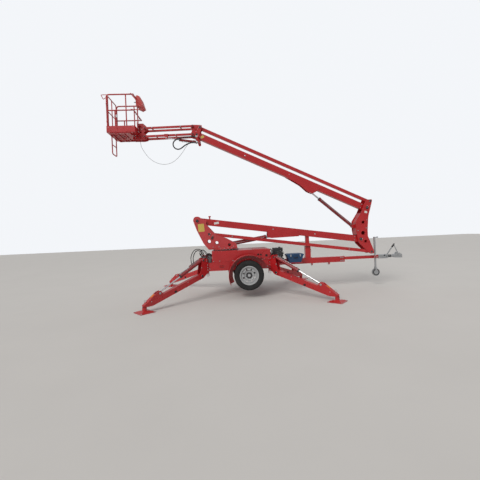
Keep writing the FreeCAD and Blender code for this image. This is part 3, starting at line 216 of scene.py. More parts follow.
def soften(solid):
    weld = solid.modifiers.new("weld", "WELD")
    weld.merge_threshold = edges["weld"]
    bevelEdges(solid, edges["width"], edges["angle"]).use_clamp_overlap = True
    # large faces keep their own normals, so flat plates stay flat beside the rounded edges
    flat = solid.modifiers.new("flat", "WEIGHTED_NORMAL")
    flat.mode = "FACE_AREA"
    flat.weight = edges["flatness"]
    flat.thresh = edges["flatSpan"]
    flat.keep_sharp = True


for name, node in nodes.items():
    node.data.materials.clear()
    node.data.materials.append(materials[ownLooks.get(name, slotLooks[slotOfNode[name]])])
    node.data.shade_smooth()
    soften(node)
print("solids dressed")


# Building tools for the fitted pieces, in millimetres. The drawing's X datum is 91 mm off the frame's middle.

datum = joints["slew"]["pos_m"][0] + 0.780
level, plusX, minusX, minusY, down = (0, 0, 1), (1, 0, 0), (-1, 0, 0), (0, -1, 0), (0, 0, -1)
sides = (-1, 1)


def mm(x, y, z):
    return Vector((x / 1000, y / 1000, z / 1000))


def at(x, y, z):
    # a point of the drawing
    return Vector((x / 1000 + datum, y / 1000, z / 1000))


def facing(point, normal, turn=0.0):
    # a local frame at the point: Z along the normal, X level
    up = Vector(normal).normalized()
    across = Vector(level).cross(up)
    across = Vector(plusX) if across.length < 0.01 else across.normalized()
    here = Matrix((across, up.cross(across), up)).transposed().to_4x4()
    here.translation = point
    return here @ Matrix.Rotation(math.radians(turn), 4, "Z")


def on(normal, x, y, z):
    return facing(at(x, y, z), normal)


def wall(x, y, z, turn=0.0):
    # on a side face, looking away from the middle
    return facing(at(x, y, z), (0, math.copysign(1, y), 0), turn)


def flat(x, y, z):
    return Matrix.Translation(at(x, y, z))


def move(x, y, z):
    return Matrix.Translation(mm(x, y, z))


def spin(degrees, axis="Z"):
    return Matrix.Rotation(math.radians(degrees), 4, axis)


def meshes(count):
    return [bmesh.new() for _ in range(count)]


def lathe(mesh, matrix, profile, steps=24):
    # profile rows: radius, height along the local Z
    rings = []
    for radius, height in profile:
        count = steps if radius > 0.001 else 1
        rings.append([mesh.verts.new(matrix @ mm(radius * math.cos(2 * math.pi * k / steps),
                                                 radius * math.sin(2 * math.pi * k / steps), height))
                      for k in range(count)])
    for lower, upper in zip(rings, rings[1:]):
        for k in range(steps):
            corners = []
            for ring, j in ((lower, k), (lower, k + 1), (upper, k + 1), (upper, k)):
                corner = ring[j % len(ring)]
                if corner not in corners:
                    corners.append(corner)
            if len(corners) > 2:
                mesh.faces.new(corners)


def slab(mesh, matrix, outline, depth, base=0.0):
    # a flat outline in the local XY plane, given a depth along Z
    low, high = ([mesh.verts.new(matrix @ mm(x, y, z)) for x, y in outline] for z in (base, base + depth))
    mesh.faces.new(low[::-1])
    mesh.faces.new(high)
    for k in range(len(outline)):
        mesh.faces.new((low[k - 1], low[k], high[k], high[k - 1]))


def brick(mesh, matrix, width, height, depth, base=0.0):
    x, y = width / 2, height / 2
    slab(mesh, matrix, [(-x, -y), (x, -y), (x, y), (-x, y)], depth, base)


def sheet(mesh, matrix, width, height, radius, depth, base=0.0):
    # a slab with rounded corners
    outline = []
    for cx, cy, start in ((1, 1, 0), (-1, 1, 90), (-1, -1, 180), (1, -1, 270)):
        for k in range(5):
            angle = math.radians(start + 22.5 * k)
            outline.append((cx * (width / 2 - radius) + radius * math.cos(angle),
                            cy * (height / 2 - radius) + radius * math.sin(angle)))
    slab(mesh, matrix, outline, depth, base)


def boltHead(mesh, matrix, across, washer=True):
    corner = across / 2 / math.cos(math.radians(30))
    base = 0.0
    if washer:
        base = across * 0.12
        lathe(mesh, matrix, [(0, 0), (across * 0.62, 0), (across * 0.62, base), (0, base)], 16)
    top = base + across * 0.55
    lathe(mesh, matrix, [(0, base), (corner, base), (corner, top - across * 0.1), (corner * 0.84, top),
                         (corner * 0.3, top), (0, top - across * 0.03)], 6)


def hoop(mesh, matrix, radius, wire, steps=28, around=8, start=0.0, sweep=360.0):
    # a ring of wire in the local XY plane, or part of one
    whole = sweep >= 360.0
    count = steps if whole else steps + 1
    rings = []
    for k in range(count):
        angle = math.radians(start + sweep * k / steps)
        ring = []
        for j in range(around):
            out = radius + wire * math.cos(2 * math.pi * j / around)
            rise = wire * math.sin(2 * math.pi * j / around)
            ring.append(mesh.verts.new(matrix @ mm(out * math.cos(angle), out * math.sin(angle), rise)))
        rings.append(ring)
    for k in range(count if whole else count - 1):
        first, second = rings[k], rings[(k + 1) % count]
        for j in range(around):
            mesh.faces.new((first[j], second[j], second[(j + 1) % around], first[(j + 1) % around]))
    if not whole:
        mesh.faces.new(rings[0])
        mesh.faces.new(rings[-1][::-1])


def eased(points, steps):
    # a soft line through the points
    line = []
    padded = [points[0] * 2 - points[1]] + list(points) + [points[-1] * 2 - points[-2]]
    for a, b, c, d in zip(padded, padded[1:], padded[2:], padded[3:]):
        for k in range(steps):
            t = k / steps
            line.append(0.5 * ((2 * b) + (c - a) * t + (2 * a - 5 * b + 4 * c - d) * t ** 2
                               + (3 * b - a - 3 * c + d) * t ** 3))
    line.append(points[-1].copy())
    return line


def pipe(mesh, points, radius, around=10, steps=6, soft=True):
    line = eased(points, steps) if soft else points
    side = None
    rings = []
    for k, point in enumerate(line):
        heading = (line[min(k + 1, len(line) - 1)] - line[max(k - 1, 0)]).normalized()
        if side is None:
            side = heading.orthogonal().normalized()
        side = (side - heading * side.dot(heading)).normalized()
        other = heading.cross(side)
        thick = (radius[k] if isinstance(radius, list) else radius) / 1000
        rings.append([mesh.verts.new(point + thick * (side * math.cos(2 * math.pi * j / around)
                                                      + other * math.sin(2 * math.pi * j / around)))
                      for j in range(around)])
    for first, second in zip(rings, rings[1:]):
        for j in range(around):
            mesh.faces.new((first[j], first[(j + 1) % around], second[(j + 1) % around], second[j]))
    mesh.faces.new(rings[0][::-1])
    mesh.faces.new(rings[-1])


def bar(mesh, points, radius, around=10, steps=6):
    pipe(mesh, [at(*point) for point in points], radius, around, steps)


def edging(mesh, points, radius):
    # a straight bead along each stretch of the line
    line = [at(*point) for point in points]
    for a, b in zip(line, line[1:]):
        pipe(mesh, [a, a.lerp(b, 0.5), b], radius, 8, soft=False)


def fitting(mesh, point, heading, radius):
    # hose end: swaged collar, then a hexagon nut on its stub
    here = facing(point, heading)
    for steps, rows in ((12, [(0, 0), (0.7, 0), (0.7, 1.2), (0, 1.2)]),
                        (6, [(0, 0.5), (1.45, 0.5), (1.45, 1.5), (0, 1.5)]),
                        (14, [(0, 1.5), (1.22, 1.5), (1.28, 3.4), (1.05, 3.6), (0, 3.6)])):
        lathe(mesh, here, [(r * radius, height * radius) for r, height in rows], steps)


def piece(name, mesh, look, body, width=0.0, angle=40.0, between=None):
    bmesh.ops.recalc_face_normals(mesh, faces=mesh.faces)
    data = bpy.data.meshes.new(name)
    mesh.to_mesh(data)
    mesh.free()
    made = bpy.data.objects.new(name, data)
    collection.objects.link(made)
    data.materials.append(materials[look])
    data.shade_smooth()
    if width:
        bevelEdges(made, width / 1000, angle).harden_normals = True
    else:
        made.modifiers.new("creases", "EDGE_SPLIT").split_angle = math.radians(angle)
    if between:
        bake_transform(made)
    else:
        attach(made, body)
    return made


outriggerTable = {"near_rear": (-1, -1), "near_front": (1, -1), "far_rear": (-1, 1), "far_front": (1, 1)}
outrigger = {"splay": 41.5, "hingeOffset": 905.0, "hingeY": 600.0, "middleX": -500.0, "hingeZ": 550.0,
             "slope": (0.9586, -0.2849), "length": 1492}
ramBase = mm(-50, 0, 910)


def outriggerFrame(corner):
    # leg's own frame: hinge over the origin, leg towards X
    end, side = outriggerTable[corner]
    heading = outrigger["splay"] if end > 0 else 180.0 - outrigger["splay"]
    x = outrigger["middleX"] + end * outrigger["hingeOffset"]
    return flat(x, side * outrigger["hingeY"], 0) @ spin(side * heading)


def legPoint(along, rise, across=0.0):
    dx, dz = outrigger["slope"]
    return mm(along * dx - rise * dz, across, outrigger["hingeZ"] + along * dz + rise * dx)


# Tyres: ribbed tread with cut shoulders, in metres

tyreLook = {"halfWidth": 0.097, "crown": 0.345, "bead": 0.206, "groove": 0.009, "blocks": 62}


def treadTyre(side):
    mesh = bmesh.new()
    half, crown, groove = tyreLook["halfWidth"], tyreLook["crown"], tyreLook["groove"]
    # rows: y, radius, cut depth where the tread is sawn across
    profile = [(-0.070, tyreLook["bead"], 0), (-0.0705, 0.222, 0), (-0.078, 0.229, 0), (-0.083, 0.240, 0),
               (-0.089, 0.243, 0), (-0.090, 0.249, 0), (-0.0885, 0.254, 0), (-0.094, 0.262, 0), (-0.0968, 0.270, 0),
               (-half, 0.285, 0), (-0.0955, 0.303, 0), (-0.092, 0.318, 0.004), (-0.086, 0.330, 0.007),
               (-0.074, 0.3395, 0.008), (-0.060, 0.3435, 0.008),
               (-0.042, crown - 0.0006, 0.006), (-0.0395, crown - groove, 0), (-0.0345, crown - groove, 0),
               (-0.0325, crown - 0.0012, 0.006),
               (-0.014, crown - 0.0006, 0.006), (-0.0115, crown - groove, 0), (-0.0065, crown - groove, 0),
               (-0.0045, crown, 0.005)]
    profile += [(-y, r, cut) for y, r, cut in reversed(profile)]
    steps = tyreLook["blocks"] * 4
    rings = []
    for y, radius, cut in profile:
        lag = (0.5 if abs(y) < 0.05 else 0) + 12.0 * abs(y)
        ring = []
        for k in range(steps):
            r = radius - (cut if (k / 4 + lag) % 1.0 < 0.25 else 0.0)
            angle = 2 * math.pi * (k + 0.5) / steps
            ring.append(mesh.verts.new((r * math.cos(angle), y, r * math.sin(angle))))
        rings.append(ring)
    for first, second in zip(rings, rings[1:]):
        for k in range(steps):
            mesh.faces.new((first[k], first[(k + 1) % steps], second[(k + 1) % steps], second[k]))
    bmesh.ops.translate(mesh, verts=mesh.verts, vec=Vector(joints["wheel_" + side + "_spin"]["pos_m"]))
    tyre = piece("tyreTread_" + side, mesh, "tyreRubber", "wheel_" + side, angle=24.0)
    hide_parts("tyre_" + side)


# Hub: nuts round the centre, a dark sheet on the cone as painted shade, bright cap, valve stem, balance weight

hubLook = {"nutCircle": 80, "nuts": 6, "nutAcross": 22, "cap": 34}


def hubParts(side):
    body = "wheel_" + side
    face = facing(Vector(joints[body + "_spin"]["pos_m"]), (0, -1 if side == "near" else 1, 0))
    nuts, shadeSheet, cap, valve, balance = meshes(5)
    for k in range(hubLook["nuts"]):
        seat = face @ spin(360 * k / hubLook["nuts"]) @ move(hubLook["nutCircle"], 0, 32.5)
        boltHead(nuts, seat, hubLook["nutAcross"])
        lathe(nuts, seat, [(6, 12), (6, 22), (4.5, 24), (0, 24)], 10)
    # a thin dark sheet laid over the hub's cone is painted shade; the same piece holds a thin dark ring further out
    lathe(shadeSheet, face, [(71.5, 31), (47.5, 73.5), (47.5, 76), (44.5, 77.5), (36, 77.5), (36, 73)], 40)
    lathe(shadeSheet, face, [(122.5, 51.2), (121.5, 52.2), (116, 51.2), (116.5, 50)], 48)
    r = hubLook["cap"]
    lathe(cap, face, [(r + 1.5, 72), (r + 1.5, 79), (r, 80), (r * 0.97, 86), (r * 0.8, 90.5), (r * 0.45, 93),
                      (0, 93.5)], 32)
    lathe(valve, face @ spin(112) @ move(183, 0, 34) @ spin(-18, "Y"),
          [(0, 0), (6.5, 0), (5.5, 12), (4, 20), (4, 32), (3, 34), (0, 34)], 12)
    sheet(balance, face @ spin(205) @ move(209.5, 0, 80), 12, 34, 3, 4)
    piece("hubNuts_" + side, nuts, "zincSteel", body, 0.6)
    piece("hubShadeSheet_" + side, shadeSheet, "blackPaint", body)
    piece("hubCap_" + side, cap, "silverPaint", body)
    piece("valveStem_" + side, valve, "hoseRubber", body)
    piece("wheelWeight_" + side, balance, "zincSteel", body, 0.8)


for wheelSide in ("near", "far"):
    treadTyre(wheelSide)
    hubParts(wheelSide)
print("wheels done")


# Pins: dark rings at the pin ends as painted shade of their recesses, keeper plates and bolts at every pivot

pivots = [
    # body, x, z, end of the pin at each side, how far that stands out, radius of the dark ring painted as shade,
    # keeper's turn (None: no keeper)
    ("turntable", -1471, 1853, 156, 8, 37, None), ("turntable", -1196, 1518, 152, 5, 26, 35),
    ("elbow", 2655, 1226, 149, 7, 34, 20), ("elbow", 2930, 891, 147, 10, 24, 120),
    ("elbow", 2855, 2012, 149, 7, 34, -60), ("elbow", 2950, 2184, 147, 10, 24, 190),
    ("boom_head", -1395, 4022, 98, 6, 25, 75), ("boom_head", -1300, 4194, 98, 6, 25, 200),
    ("boom_head", -1490, 4020, 138, 8, 18, None), ("boom_head", -1490, 4224, 138, 8, 18, None),
    ("basket", -2665, 4199, 138, 8, 18, None), ("basket", -2665, 3995, 138, 8, 18, None),
]
pinLook = {"shadeRingRim": 6, "keeper": (22, 66, 6), "keeperThick": 6, "keeperBolt": 16}


# a dark cup at the pin's end: painted shade of a recessed hole
def pinShadeRing(mesh, matrix, radius):
    inner = radius - pinLook["shadeRingRim"]
    lathe(mesh, matrix, [(radius, -4), (radius, 3), (radius - 1.5, 4.5), (inner + 1, 4.5), (inner, 3), (inner, 1.2),
                         (radius * 0.34, 1.2), (radius * 0.30, 4.2), (0, 4.6)], 32)


def nipple(mesh, matrix):
    lathe(mesh, matrix, [(0, 0), (5.5, 0), (5.5, 4), (3.2, 6), (3.2, 9), (4, 11), (3.6, 14), (1.6, 15.5),
                         (0, 15.5)], 10)


pinShadeRings, keepers, bolts = {}, {}, {}
for body, x, z, face, drop, radius, turn in pivots:
    for store in (pinShadeRings, keepers, bolts):
        store.setdefault(body, bmesh.new())
    for side in sides:
        pinEnd = wall(x, side * face, z)
        pinShadeRing(pinShadeRings[body], pinEnd, radius)
        nipple(bolts[body], pinEnd @ move(0, 0, 4))
        if turn is None:
            continue
        # the keeper lies in a saw cut of the pin and is bolted to the boss beside it
        keeper = wall(x, side * face, z, side * turn) @ move(radius + 4, 0, 0.2 - drop)
        sheet(keepers[body], keeper, *pinLook["keeper"], pinLook["keeperThick"])
        for shift in (-21, 21):
            boltHead(bolts[body], keeper @ move(1, shift, pinLook["keeperThick"]), pinLook["keeperBolt"])
for body in pinShadeRings:
    piece("pinShadeRings_" + body, pinShadeRings[body], "blackPaint", body)
    if keepers[body].faces:
        piece("pinKeepers_" + body, keepers[body], "redPaint", body, 0.8)
    piece("pinBolts_" + body, bolts[body], "zincSteel", body, 0.4)
print("pins done")


# Outrigger legs: reflector, lifting ring, side plug, pin caps, weld runs, foot boot

legLook = {"reflector": (88, 46), "ringRadius": 24, "ringWire": 4.5, "plug": (52, 40)}
slopeStart, slopeEnd = legPoint(1151.4, 152), legPoint(1513.8, 26)
slopeNormal = Vector((-(slopeEnd.z - slopeStart.z), 0, slopeEnd.x - slopeStart.x)).normalized()


def weldRun(mesh, start, end, radius=3.2, pitch=11):
    # a hand-laid bead: overlapping drops along a line
    count = max(2, int((end - start).length / (pitch / 1000)))
    points, sizes = [], []
    for k in range(count * 2 + 1):
        points.append(start.lerp(end, k / (count * 2)))
        sizes.append(radius * ((1.0 if k % 2 else 0.78) + seed.uniform(-0.06, 0.06)))
    pipe(mesh, points, sizes, 7, soft=False)


def legParts(corner):
    place = outriggerFrame(corner)
    body = "outrigger_" + corner
    trim, lens, rubber, zinc, welds = meshes(5)
    lift = place @ facing(slopeStart.lerp(slopeEnd, 0.32) + slopeNormal * 0.0002, slopeNormal) @ spin(90)
    width, height = legLook["reflector"]
    sheet(trim, lift, width + 10, height + 10, 5, 3.5)
    sheet(lens, lift, width, height, 4, 4.8, 3.5)
    foot = place @ Matrix.Translation(slopeStart.lerp(slopeEnd, 0.77))
    brick(trim, foot @ facing((0, 0, 0), slopeNormal, 90), 30, 12, 10)
    hoop(zinc, foot @ facing(slopeNormal * ((legLook["ringRadius"] + 9) / 1000), (0, 1, 0)),
         legLook["ringRadius"], legLook["ringWire"])
    for side in sides:
        out = (0, side, 0)
        plug = place @ facing(legPoint(760, -26, side * 50), out)
        sheet(rubber, plug, *legLook["plug"], 6, 9)
        boltHead(rubber, plug @ move(0, 0, 9), 18, False)
        # cap and lock ring of the cylinder's pin
        cap = place @ facing(legPoint(1111.4, 110, side * 58), out)
        lathe(zinc, cap, [(15.5, -4), (15.5, 0.6), (13, 3), (0, 3)], 24)
        lathe(zinc, cap @ move(0, 0, -3.5), [(24, 0), (24, 2.2), (15, 2.2)], 24)
        hoop(zinc, cap @ move(0, 0, -1), 17.2, 1.3, 20, 6, 30, 300)
        for a, b in (((70, -58), (1320, -58)), ((1085, 60), (1151, 150)), ((1155, 150), (1505, 27))):
            weldRun(welds, place @ legPoint(*a, side * 49.5), place @ legPoint(*b, side * 49.5), 2.8)
        for share in (0.27, 0.90):
            boltHead(zinc, place @ facing(legPoint(outrigger["length"] * share, 34, side * 50.5), out), 15)
    # end plate of the wedge and the foot's dust boot
    dx, dz = outrigger["slope"]
    brick(trim, place @ facing(legPoint(1513.8, 8), (dx, 0, dz)), 88, 30, 4)
    boot = place @ move(1430, 0, 0)
    folds = [row for k in range(4) for row in ((44 - 1.5 * k, 106 + 7 * k), (38.5 - k, 109.5 + 7 * k))]
    lathe(rubber, boot, [(30, 104)] + folds + [(26, 134)], 32)
    for sx in sides:
        for sy in sides:
            boltHead(zinc, boot @ move(sx * 140, sy * 140, 12), 17)
            brick(trim, boot @ move(sx * 98, sy * 98, 0) @ spin(45 * sx * sy), 60, 6, 10, 20)
    piece("legTrim_" + corner, trim, "redPaint", body, 0.8)
    piece("legReflector_" + corner, lens, "amberLens", body, 1)
    piece("legRubber_" + corner, rubber, "gripRubber", body, 0.8)
    piece("legFittings_" + corner, zinc, "zincSteel", body, 0.4)
    piece("legWelds_" + corner, welds, "redPaint", body)


ramLook = {"glandRise": 6.2, "portRadius": 13, "lineRadius": 5, "lineGap": 11, "clip": (16, 18, 14)}


def ramParts(name, body, rodBody, base, tip, sizes, portTurn, place=Matrix.Identity(4)):
    # gland ring and wiper, ports joined by a clipped steel line, and the collar at the rod's eye
    # sizes: barrel, rod and eye radius, where the barrel ends
    r, rod, eye, end = sizes
    axis = (tip - base).normalized()
    along = place @ facing(base, axis)
    dark, zinc, bosses, collar = meshes(4)
    rise = r + ramLook["glandRise"]
    lathe(dark, along, [(r + 5.4, end - 12), (rise, end - 10), (rise, end + 4), (r + 2, end + 7), (rod + 6, end + 7.5),
                        (rod + 3.5, end + 12), (rod + 0.7, end + 12), (rod + 0.7, end - 1)], 36)
    turned = along @ spin(portTurn)
    first, last = eye + 36, end - 70
    port = ramLook["portRadius"]
    for height in (first, last):
        boss = turned @ move(r - 2, 0, height) @ spin(90, "Y")
        lathe(bosses, boss, [(0, 0), (port, 0), (port, 9), (port - 2, 11), (0, 11)], 20)
        lathe(zinc, boss, [(0, 10), (port * 0.86, 10), (port * 0.86, 17), (0, 17)], 6)
    gap = r + ramLook["lineGap"]
    line = [(r + 14, 0, last), (r + 18, 2, last - 4), (r + 17, 4, last - 22), (gap, 6, last - 50),
            (gap, 6, (first + last) / 2), (gap, 6, first + 80), (gap, 12, first + 50), (gap, 20, first + 20),
            (gap, 21, first - 12)]
    pipe(zinc, [turned @ mm(*point) for point in line], ramLook["lineRadius"])
    for share in (0.3, 0.74):
        clip = turned @ move(0, 0, first + (last - first) * share)
        hoop(zinc, clip, r + 1.2, 1.2, 36, 6)
        brick(zinc, clip @ move(gap - 3, 6, -7), *ramLook["clip"])
    lathe(collar, place @ facing(tip, -axis), [(rod + 0.4, eye * 0.80), (rod + 8, eye * 0.84), (rod + 8, eye + 5),
                                               (rod + 5, eye + 8), (rod + 0.4, eye + 8)], 28)
    piece("ramGland_" + name, dark, "blackPaint", body)
    piece("ramLine_" + name, zinc, "zincSteel", body, angle=50)
    piece("ramPorts_" + name, bosses, "darkRedPaint", body, 0.8)
    piece("rodCollar_" + name, collar, "darkRedPaint", rodBody)


for corner in outriggerTable:
    legParts(corner)
    ramParts(corner, "outrigger_barrel_" + corner, "outrigger_rod_" + corner, ramBase, legPoint(1111.4, 110),
             (38, 16, 28, 681.1), 90, outriggerFrame(corner))
ramParts("lower", "lower_ram_barrel", "lower_ram_rod", at(-930, 0, 1205), at(310, 0, 1392), (50, 26, 38, 1186), 180)
ramParts("upper", "upper_ram_barrel", "upper_ram_rod", at(2505, 0, 1565), at(1450, 0, 2485), (42, 20, 30, 1119.3), 0)
ramParts("jib", "jib_ram_barrel", "jib_ram_rod", at(-1340, -160, 3800), at(-2135, -160, 3925), (28, 12, 20, 482.9), -90)
print("outriggers and cylinders done")


# Chassis: bolts, tie-down rings, bracket bolts, end caps, lamps, fender edges

chassisLook = {"lamp": (170, 82, 12), "lampGlass": (158, 70, 9), "marker": (100, 52, 10), "markerGlass": (88, 40, 6),
               "beadRadius": 5.5}
fender = {"x": -282.0, "z": 530.0}


def fenderPoint(radius, degrees):
    angle = math.radians(degrees)
    return fender["x"] + radius * math.cos(angle), fender["z"] + radius * math.sin(angle)


def chassisParts():
    zinc, trim, dark, glass, welds = meshes(5)
    for side in sides:
        # rings in the tie-down lugs, and bolts of the axle and rail joints
        for x in (-1240, 240):
            hoop(zinc, on((0.25, 1, 0), x, side * 477, 552), 34, 6)
        for x in (-1290, -1190, -560, -470, -210, -50, 190, 290):
            boltHead(zinc, wall(x, side * 500, 690 if x % 20 else 735), 20)
        for x in (-1330, 330):
            for z in (700, 770):
                boltHead(zinc, wall(x, side * 500, z), 24)
        # caps in the rails' open ends, and the side marker
        for x, out in ((-1370, minusX), (370, plusX)):
            sheet(dark, on(out, x, side * 460, 735), 76, 196, 8, 4)
        marker = wall(-905, side * 500, 735)
        sheet(dark, marker, *chassisLook["marker"], 5)
        sheet(glass, marker, *chassisLook["markerGlass"], 8, 5)
        # rolled outer edge of the fender and its stay bolts
        run = [fenderPoint(466.5, 205 - 5.1 * k) for k in range(31)]
        x, z = run[-1]
        slope = math.radians(52)
        run += [(x + 67 * k * math.sin(slope), z - 67 * k * math.cos(slope)) for k in range(1, 5)]
        pipe(trim, [at(x, side * 859, z) for x, z in run], chassisLook["beadRadius"], 8, soft=False)
        for x in (-612, 48):
            for y in (625, 660):
                dx = x - fender["x"]
                dz = math.sqrt(470 ** 2 - dx ** 2)
                boltHead(zinc, on((dx, 0, dz), x, side * y, fender["z"] + dz), 16)
        for degrees in (160, 128, 95, 62):
            x, z = fenderPoint(445, degrees)
            boltHead(zinc, wall(x, side * 613, z), 14)
    for side in sides:
        lamp = on(minusX, -1370, side * 330, 735)
        sheet(dark, lamp, *chassisLook["lamp"], 26)
        sheet(glass, lamp, *chassisLook["lampGlass"], 8, 26)
    # outrigger brackets
    for corner in outriggerTable:
        place = outriggerFrame(corner)
        for side in sides:
            out = (0, side, 0)
            for x, z, size in ((-165, 670, 20), (-165, 730, 20), (-165, 790, 20), (-140, 880, 18), (12, 742, 18)):
                boltHead(zinc, place @ facing(mm(x, side * 66, z), out), size)
            for x, z, radius in ((0, 550, 26), (-50, 910, 21)):
                spot = place @ facing(mm(x, side * 74.2, z), out)
                # dark ring at the pin's end: painted shade of its recess
                pinShadeRing(dark, spot, radius)
                keeper = spot @ spin(55 + 80 * side) @ move(radius + 3, 0, -8)
                sheet(trim, keeper, 20, 52, 5, 6)
                for shift in (-17, 17):
                    boltHead(zinc, keeper @ move(0, shift, 6), 13)
            weldRun(welds, place @ mm(-190, side * 66.5, 640), place @ mm(-190, side * 66.5, 830))
    # welds of the cross members on the rails
    for member in (-1330, -830, -170, 330):
        for side in sides:
            for x in (member - 41, member + 41):
                weldRun(welds, at(x, side * 419, 655), at(x, side * 419, 832))
    # drawbar: joint bolts, collar, chain eyes, clamp bolts
    for x in (2200, 2150):
        for side in sides:
            for z in (690, 765):
                boltHead(zinc, wall(x, side * 60, z), 24)
    sheet(trim, on(plusX, 2240, 0, 725), 124, 144, 6, 8)
    for x in (1405, 1850):
        lathe(zinc, on(plusX, x + 14, 0, 626), [(0, 0), (12, 0), (12, 8), (4, 10), (0, 10)], 16)
        hoop(zinc, on((0.4, 1, 0), x, 20, 606), 20, 4.5, 24)
    for x in (3010, 3080):
        boltHead(zinc, wall(x, -111, 740), 18)
    for x in (3170, 3240, 3330):
        for y in (-46, 46):
            boltHead(zinc, wall(x, y, 755), 18)
    piece("chassisBolts", zinc, "zincSteel", "chassis", 0.4)
    piece("chassisTrim", trim, "redPaint", "chassis", 0.8)
    piece("chassisDark", dark, "blackPaint", "chassis", 0.8)
    piece("chassisLenses", glass, "redLens", "chassis", 1.2)
    piece("chassisWelds", welds, "redPaint", "chassis")


chassisParts()


# Deck: ring bolts, tread cover with its screws, grommets in the side openings, hand holds, rear vents

deckLook = {"ringBolts": 24, "ringRadius": 303, "boltAcross": 16, "studPitch": 40, "coverStud": (13, 6, 3.5, 1.6)}


def treadStud(mesh, place, i, j, size):
    # one raised lozenge, turned the other way than its neighbours
    long, short, half, rise = size
    slab(mesh, place @ spin(45 if (i + j) % 2 else -45),
         [(-long, 0), (-short, -half), (short, -half), (long, 0), (short, half), (-short, half)], rise)


def deckParts():
    zinc, trim, dark, studs = meshes(4)
    for k in range(deckLook["ringBolts"]):
        turn = spin(360 * k / deckLook["ringBolts"])
        boltHead(zinc, flat(-780, 0, 1116) @ turn @ move(deckLook["ringRadius"], 0, 0), deckLook["boltAcross"], False)
    cover = flat(30, 0, 1098)
    sheet(trim, cover, 440, 900, 12, 3)
    for x in (-205, 0, 205):
        for y in (-435, -145, 145, 435):
            if abs(x) + abs(y) > 300:
                lathe(zinc, cover @ move(x, y, 3), [(0, 0), (9, 0), (8, 4), (4, 5.5), (0, 5.5)], 14)
    pitch = deckLook["studPitch"]
    for i in range(-4, 5):
        for j in range(-10, 11):
            treadStud(studs, cover @ move(i * pitch, j * pitch, 3), i, j, deckLook["coverStud"])
    for side in sides:
        for x, z, r in ((-25, 977, 17), (39, 972, 17), (173, 950, 24), (45, 885, 14)):
            spot = wall(x, side * 495, z)
            lathe(dark, spot, [(r - 3, -12), (r - 3, 3), (r + 1, 4.5), (r + 5, 3), (r + 5, 0.2)], 28)
            lathe(dark, spot, [(0, -10), (r - 2, -10)], 28)
        for x in (-1095, -950, -640, -480, -330, -180, 110, 235):
            boltHead(zinc, wall(x, side * 495, 865), 16)
        weldRun(studs, at(-1125, side * 496, 838), at(262, side * 496, 838))
        hold = ((-1040, 1098), (-1040, 1128), (-1020, 1136), (-930, 1136), (-910, 1128), (-910, 1098))
        bar(trim, [(x, side * 470, z) for x, z in hold], 6.5, 10, 4)
    for y in (-300, 0, 300):
        vent = on(minusX, -1130, y, 985)
        sheet(trim, vent, 180, 150, 10, 3)
        for k in range(5):
            sheet(dark, vent @ move(0, -44 + 22 * k, 3), 130, 9, 4, 0.8)
    piece("deckBolts", zinc, "zincSteel", "chassis", 0.4)
    piece("deckTrim", trim, "redPaint", "chassis", 0.8)
    piece("deckGrommets", dark, "gripRubber", "chassis", 0.5)
    piece("deckTread", studs, "redPaint", "chassis", 0.4)


deckParts()
print("chassis and deck done")


# Turret: yellow plate, ring bolts, collars, switches; slew drive beside the ring

turretLook = {"plate": (150, 196, 10), "bolts": 16, "boltRadius": 244, "cheekGap": (108, 162)}


def turretParts():
    zinc, trim, dark, plate, welds = meshes(5)
    for k in range(turretLook["bolts"]):
        angle = 2 * math.pi * (k + 0.5) / turretLook["bolts"]
        x, y = turretLook["boltRadius"] * math.cos(angle), turretLook["boltRadius"] * math.sin(angle)
        # none under the cheeks
        if not turretLook["cheekGap"][0] < abs(y) < turretLook["cheekGap"][1]:
            boltHead(zinc, flat(-780 + x, y, 1150.3), 20)
    for side in sides:
        for x, z, r in ((-1200, 1330, 45), (-1010, 1290, 40), (-700, 1230, 34)):
            lathe(trim, wall(x, side * 142, z), [(r + 0.2, -2), (r + 0.2, 5), (r + 6, 6), (r + 10, 0.2)], 32)
        for x in (-1105, -960, -600):
            boltHead(zinc, wall(x, side * 142, 1185), 20)
        weldRun(welds, at(-1195, side * 143, 1149), at(-510, side * 143, 1149))
        weldRun(welds, at(-1195, side * 129, 1153), at(-510, side * 129, 1153))
        # limit switch with its plunger beside the link pin
        box = wall(-1120, side * 142, 1420, side * 24)
        sheet(dark, box, 38, 76, 6, 26)
        lathe(zinc, box @ move(0, 50, 13) @ spin(-90, "X"),
              [(0, -14), (5, -14), (5, 12), (9, 13), (9, 20), (0, 21)], 14)
    face = wall(-1381, -142, 1679, 4)
    sheet(plate, face, *turretLook["plate"], 1.2)
    for sx in sides:
        for sy in sides:
            lathe(zinc, face @ move(sx * 66, sy * 89, 1.2), [(0, 0), (4, 0), (3, 1.8), (0, 2.2)], 12)
    piece("turretBolts", zinc, "zincSteel", "turntable", 0.4)
    piece("turretTrim", trim, "redPaint", "turntable")
    piece("turretSwitches", dark, "blackPaint", "turntable", 1)
    piece("turretPlate", plate, "yellowPlate", "turntable", 0.4)
    piece("turretWelds", welds, "redPaint", "turntable")


def slewDrive():
    dark, zinc = meshes(2)
    spot = flat(-780, 352, 1098)
    sheet(dark, spot, 190, 74, 20, 52)
    lathe(dark, on(minusX, -865, 352, 1125), [(0, 0), (30, 0), (30, 52), (26, 56), (0, 56)], 28)
    end = on(plusX, -695, 352, 1125)
    lathe(dark, end, [(0, 0), (28, 0), (28, 22), (0, 22)], 28)
    for k in range(4):
        boltHead(zinc, end @ spin(45 + 90 * k) @ move(20, 0, 22), 8, False)
    for sx in sides:
        for sy in sides:
            boltHead(zinc, spot @ move(sx * 80, sy * 26, 52), 12)
    piece("slewDrive", dark, "blackPaint", "chassis", 1.5)
    piece("slewDriveBolts", zinc, "zincSteel", "chassis", 0.4)


turretParts()
slewDrive()
print("turret done")


# Hydraulic hoses: at the valve bank, and from the brackets to the outrigger cylinders

